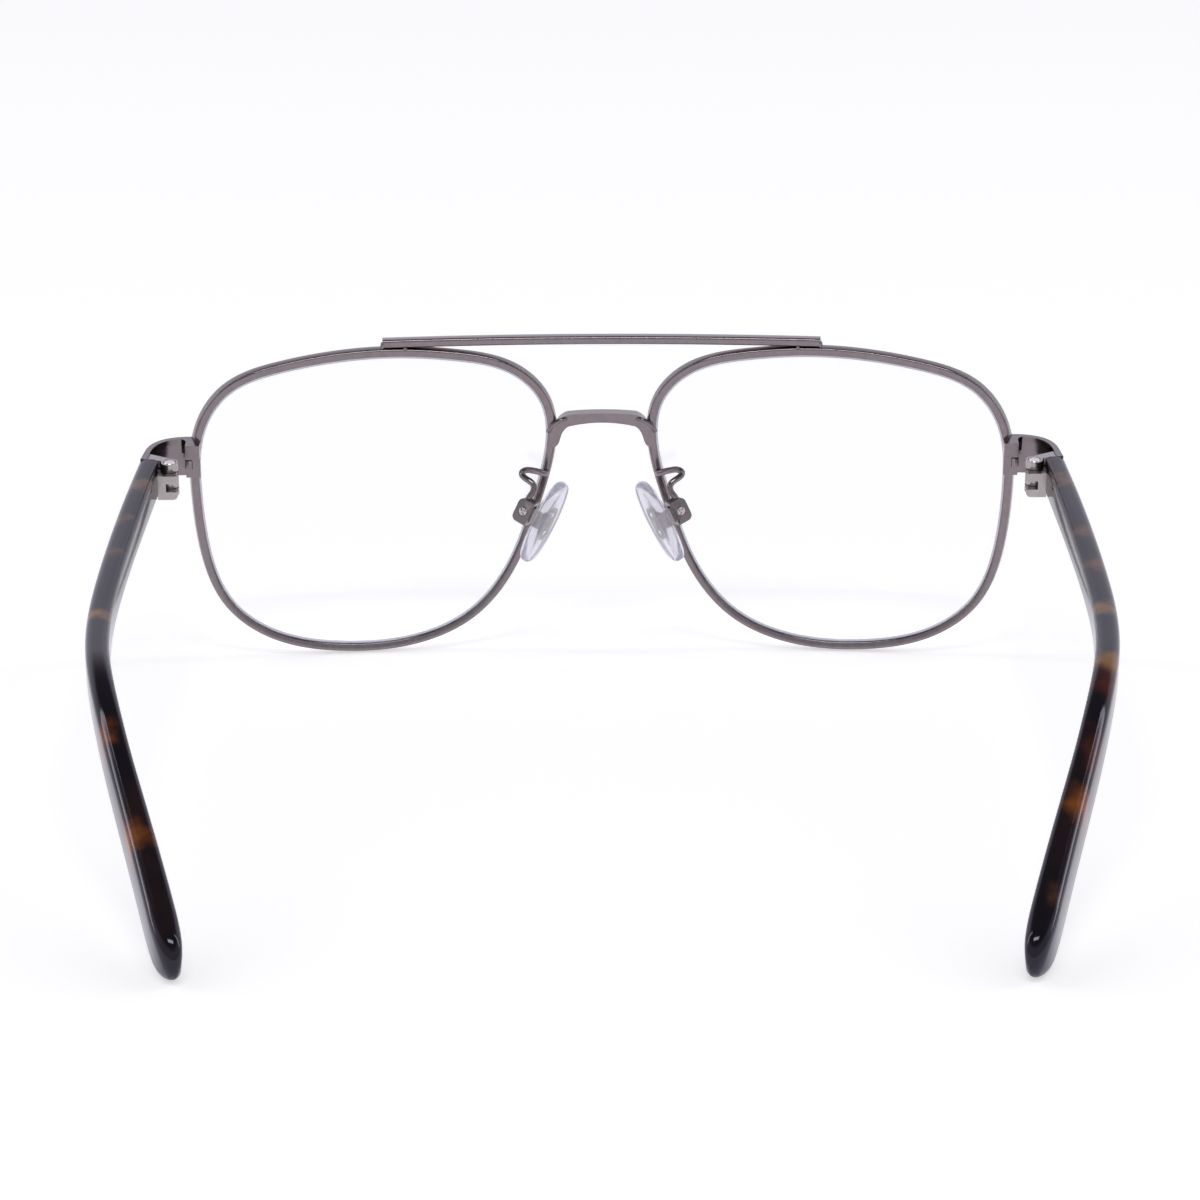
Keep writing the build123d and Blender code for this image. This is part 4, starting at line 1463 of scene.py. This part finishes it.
@dataclass
class SmoothPieces:
    """Copies of the model's turned, bent and cut pieces, with softened edges."""

    shop: Workshop
    extras: Mapping[str, Sequence[Object]]
    widths: tuple[tuple[str, float], ...] = (
        ("bridge", 0.28), ("endpiece", 0.16), ("closing_block", 0.12), ("front_hinge", 0.08),
        ("temple_hinge", 0.08), ("core_wire", 0.15), ("pad_core", 0.06), ("pad_box", 0.1),
    )
    merge: float = 0.0004
    flat_angle: float = 0.6
    edge_angle: float = 32.0
    segments: int = 3

    def build(self) -> None:
        """Copy the right and left pieces of each kind, and the single ones."""
        for kind, width in self.widths:
            names = [kind] if kind in self.shop.frame["nodes"] else [side.prefix + kind for side in Side]
            for node in names:
                self.copy(node, width)

    def copy(self, node: str, width: float) -> None:
        """Make the soft-edged copy of one node and let it stand for the node.

        Args:
            node: The node's name.
            width: How wide its edges are rounded, in millimetres.
        """
        source = self.shop.frame["nodes"][node]
        mesh = source.data.copy()
        mesh.name = node + "_shown"
        work = bmesh.new()
        work.from_mesh(mesh)
        work.transform(source.matrix_world)
        bmesh.ops.remove_doubles(work, verts=work.verts, dist=self.merge * MM)
        flat = math.radians(self.flat_angle)
        bmesh.ops.dissolve_limit(work, angle_limit=flat, verts=work.verts, edges=work.edges)
        for extra in self.extras.get(node, ()):
            work.from_mesh(extra.data)
            bpy.data.objects.remove(extra)
        work.to_mesh(mesh)
        work.free()
        shown = new_object(node + "_shown", mesh)
        mesh.materials.clear()
        shade(mesh, self.edge_angle)
        bevel = shown.modifiers.new("soft_edges", "BEVEL")
        bevel.width = width * MM
        bevel.segments = self.segments
        bevel.limit_method = "ANGLE"
        bevel.angle_limit = math.radians(self.edge_angle)
        bevel.harden_normals = True
        settle(shown)
        self.shop.dress(shown, [node], self.shop.slot_of(node))


@dataclass(frozen=True)
class Lamp:
    """One soft lamp: its place and aim and its width and length in millimetres, and its watts."""

    name: str
    place: Point
    aim: Point
    size: Span
    power: float


@dataclass
class Studio:
    """The pale table, the surround, the soft lamps and the camera of the photograph."""

    camera_place: Point = (0.0, -636.4, 263.6)
    pitch: float = 20.04
    roll: float = -0.185
    focal_pixels: float = 4593.0
    frame_pixels: float = 1200.0
    sensor: float = 36.0
    middle_pixels: float = 602.3
    view_end: float = 100.0
    table_size: float = 6000.0
    table_colour: Colour = (0.76, 0.75, 0.74)
    table_glow: float = 0.545
    glow_colour: Colour = (0.9, 0.88, 1.0)
    horizon: float = 1.0
    zenith: float = 0.15
    height_span: Span = (0.45, 0.8)
    rear: float = 0.6
    ahead_span: Span = (-0.3, 0.75)
    sky_colour: Colour = (0.87, 0.87, 1.0)
    lamps: tuple[Lamp, ...] = (
        Lamp("left_lamp", (-1000, 250, 800), (0, 100, 20), (140, 1300), 2.2),
        Lamp("right_lamp", (1000, 250, 800), (0, 100, 20), (140, 1300), 2.2),
        Lamp("rear_lamp", (0, -500, 1100), (0, 100, 0), (600, 200), 3.0),
    )

    def camera(self) -> None:
        """Place the camera."""
        data = bpy.data.cameras.new("camera")
        data.sensor_width = self.sensor
        data.lens = self.focal_pixels / self.frame_pixels * self.sensor
        data.shift_x = (self.frame_pixels / 2 - self.middle_pixels) / self.frame_pixels
        data.clip_end = self.view_end
        camera = bpy.data.objects.new("camera", data)
        camera.location = Vector(self.camera_place) * MM
        tilt = Matrix.Rotation(math.radians(90 - self.pitch), 3, "X")
        camera.rotation_euler = (tilt @ Matrix.Rotation(math.radians(self.roll), 3, "Z")).to_euler()
        bpy.context.scene.collection.objects.link(camera)
        bpy.context.scene.camera = camera

    def table(self) -> None:
        """Lay the plain pale table."""
        half = self.table_size * MM / 2
        mesh = bpy.data.meshes.new("table_top")
        corners = [(-half, -half, 0), (half, -half, 0), (half, half, 0), (-half, half, 0)]
        mesh.from_pydata(corners, [], [(0, 1, 2, 3)])
        table = new_object("table_top", mesh)
        shader = Shader("pale_table")
        matt = shader.add("ShaderNodeBsdfDiffuse", {"Color": (*self.table_colour, 1)})
        path = shader.add("ShaderNodeLightPath")
        glossy, passed = path.outputs["Is Glossy Ray"], path.outputs["Is Transmission Ray"]
        seen = shader.maths("MAXIMUM", shader.maths("MAXIMUM", path.outputs["Is Camera Ray"], glossy), passed)
        mirrored = shader.maths("SUBTRACT", glossy, passed)
        tint = shader.blend(mirrored, (1, 1, 1, 1), (*self.glow_colour, 1))
        strength = shader.maths("MULTIPLY", seen, self.table_glow)
        glow = shader.add("ShaderNodeEmission", {"Color": tint, "Strength": strength})
        both = shader.add("ShaderNodeAddShader", {0: matt.outputs[0], 1: glow.outputs[0]})
        mesh.materials.append(shader.finish(both))

    def world(self) -> None:
        """Set the surround: bright round the table, darker overhead and behind the camera."""
        world = bpy.data.worlds.new("surround")
        world.use_nodes = True
        sky = Graph(world.node_tree)
        ways = sky.add("ShaderNodeSeparateXYZ", {0: sky.add("ShaderNodeTexCoord").outputs["Generated"]})
        height = sky.ranged(ways.outputs["Z"], *self.height_span, self.horizon, self.zenith)
        ahead = sky.ranged(ways.outputs["Y"], *self.ahead_span, self.rear, 1.0)
        background = world.node_tree.nodes["Background"]
        background.inputs["Color"].default_value = (*self.sky_colour, 1)
        world.node_tree.links.new(sky.maths("MULTIPLY", height, ahead), background.inputs["Strength"])
        bpy.context.scene.world = world

    def hang(self, kind: Lamp) -> None:
        """Hang one soft lamp.

        Args:
            kind: The lamp.
        """
        data = bpy.data.lights.new(kind.name, "AREA")
        data.shape = "RECTANGLE"
        data.size, data.size_y = kind.size[0] * MM, kind.size[1] * MM
        data.energy = kind.power
        lamp = bpy.data.objects.new(kind.name, data)
        lamp.location = Vector(kind.place) * MM
        lamp.rotation_euler = (Vector(kind.aim) - Vector(kind.place)).to_track_quat("-Z", "Y").to_euler()
        bpy.context.scene.collection.objects.link(lamp)

    def build(self) -> None:
        """Build the whole studio."""
        self.camera()
        self.table()
        self.world()
        for kind in self.lamps:
            self.hang(kind)
        bpy.context.scene.view_settings.view_transform = "Standard"


def main() -> None:
    """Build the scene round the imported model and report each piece."""
    logging.basicConfig(level=logging.INFO, format="%(name)s: %(message)s")
    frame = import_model()
    finishes = FinishSet()
    shop = Workshop(frame, finishes.materials(), bar_tree(), screw_tree())
    shape = EyeShape()
    shift = shop.joint(FOLD)[0] - shape.hinge_place()
    nose = NoseSupport(shop, shape, shift)
    frosted = finishes.lens_edge.material()
    for side in Side:
        Eyewires(shop, shape, shift).build(side)
        Lenses(shop, shape, shift, frosted).build(side)
        nose.build_arm(side)
        nose.build_pad(side)
        Temple(shop).build(side)
    TopBar(shop, shape, shift).build()
    Screws(shop, nose.pad_axes()).build()
    ridges = Ridges(shop, shape, shift)
    extras = {"bridge": ridges.cuffs()}
    extras.update({side.prefix + "closing_block": ridges.barrel(side) for side in Side})
    SmoothPieces(shop, extras).build()
    Studio().build()


if __name__ == "__main__":
    main()
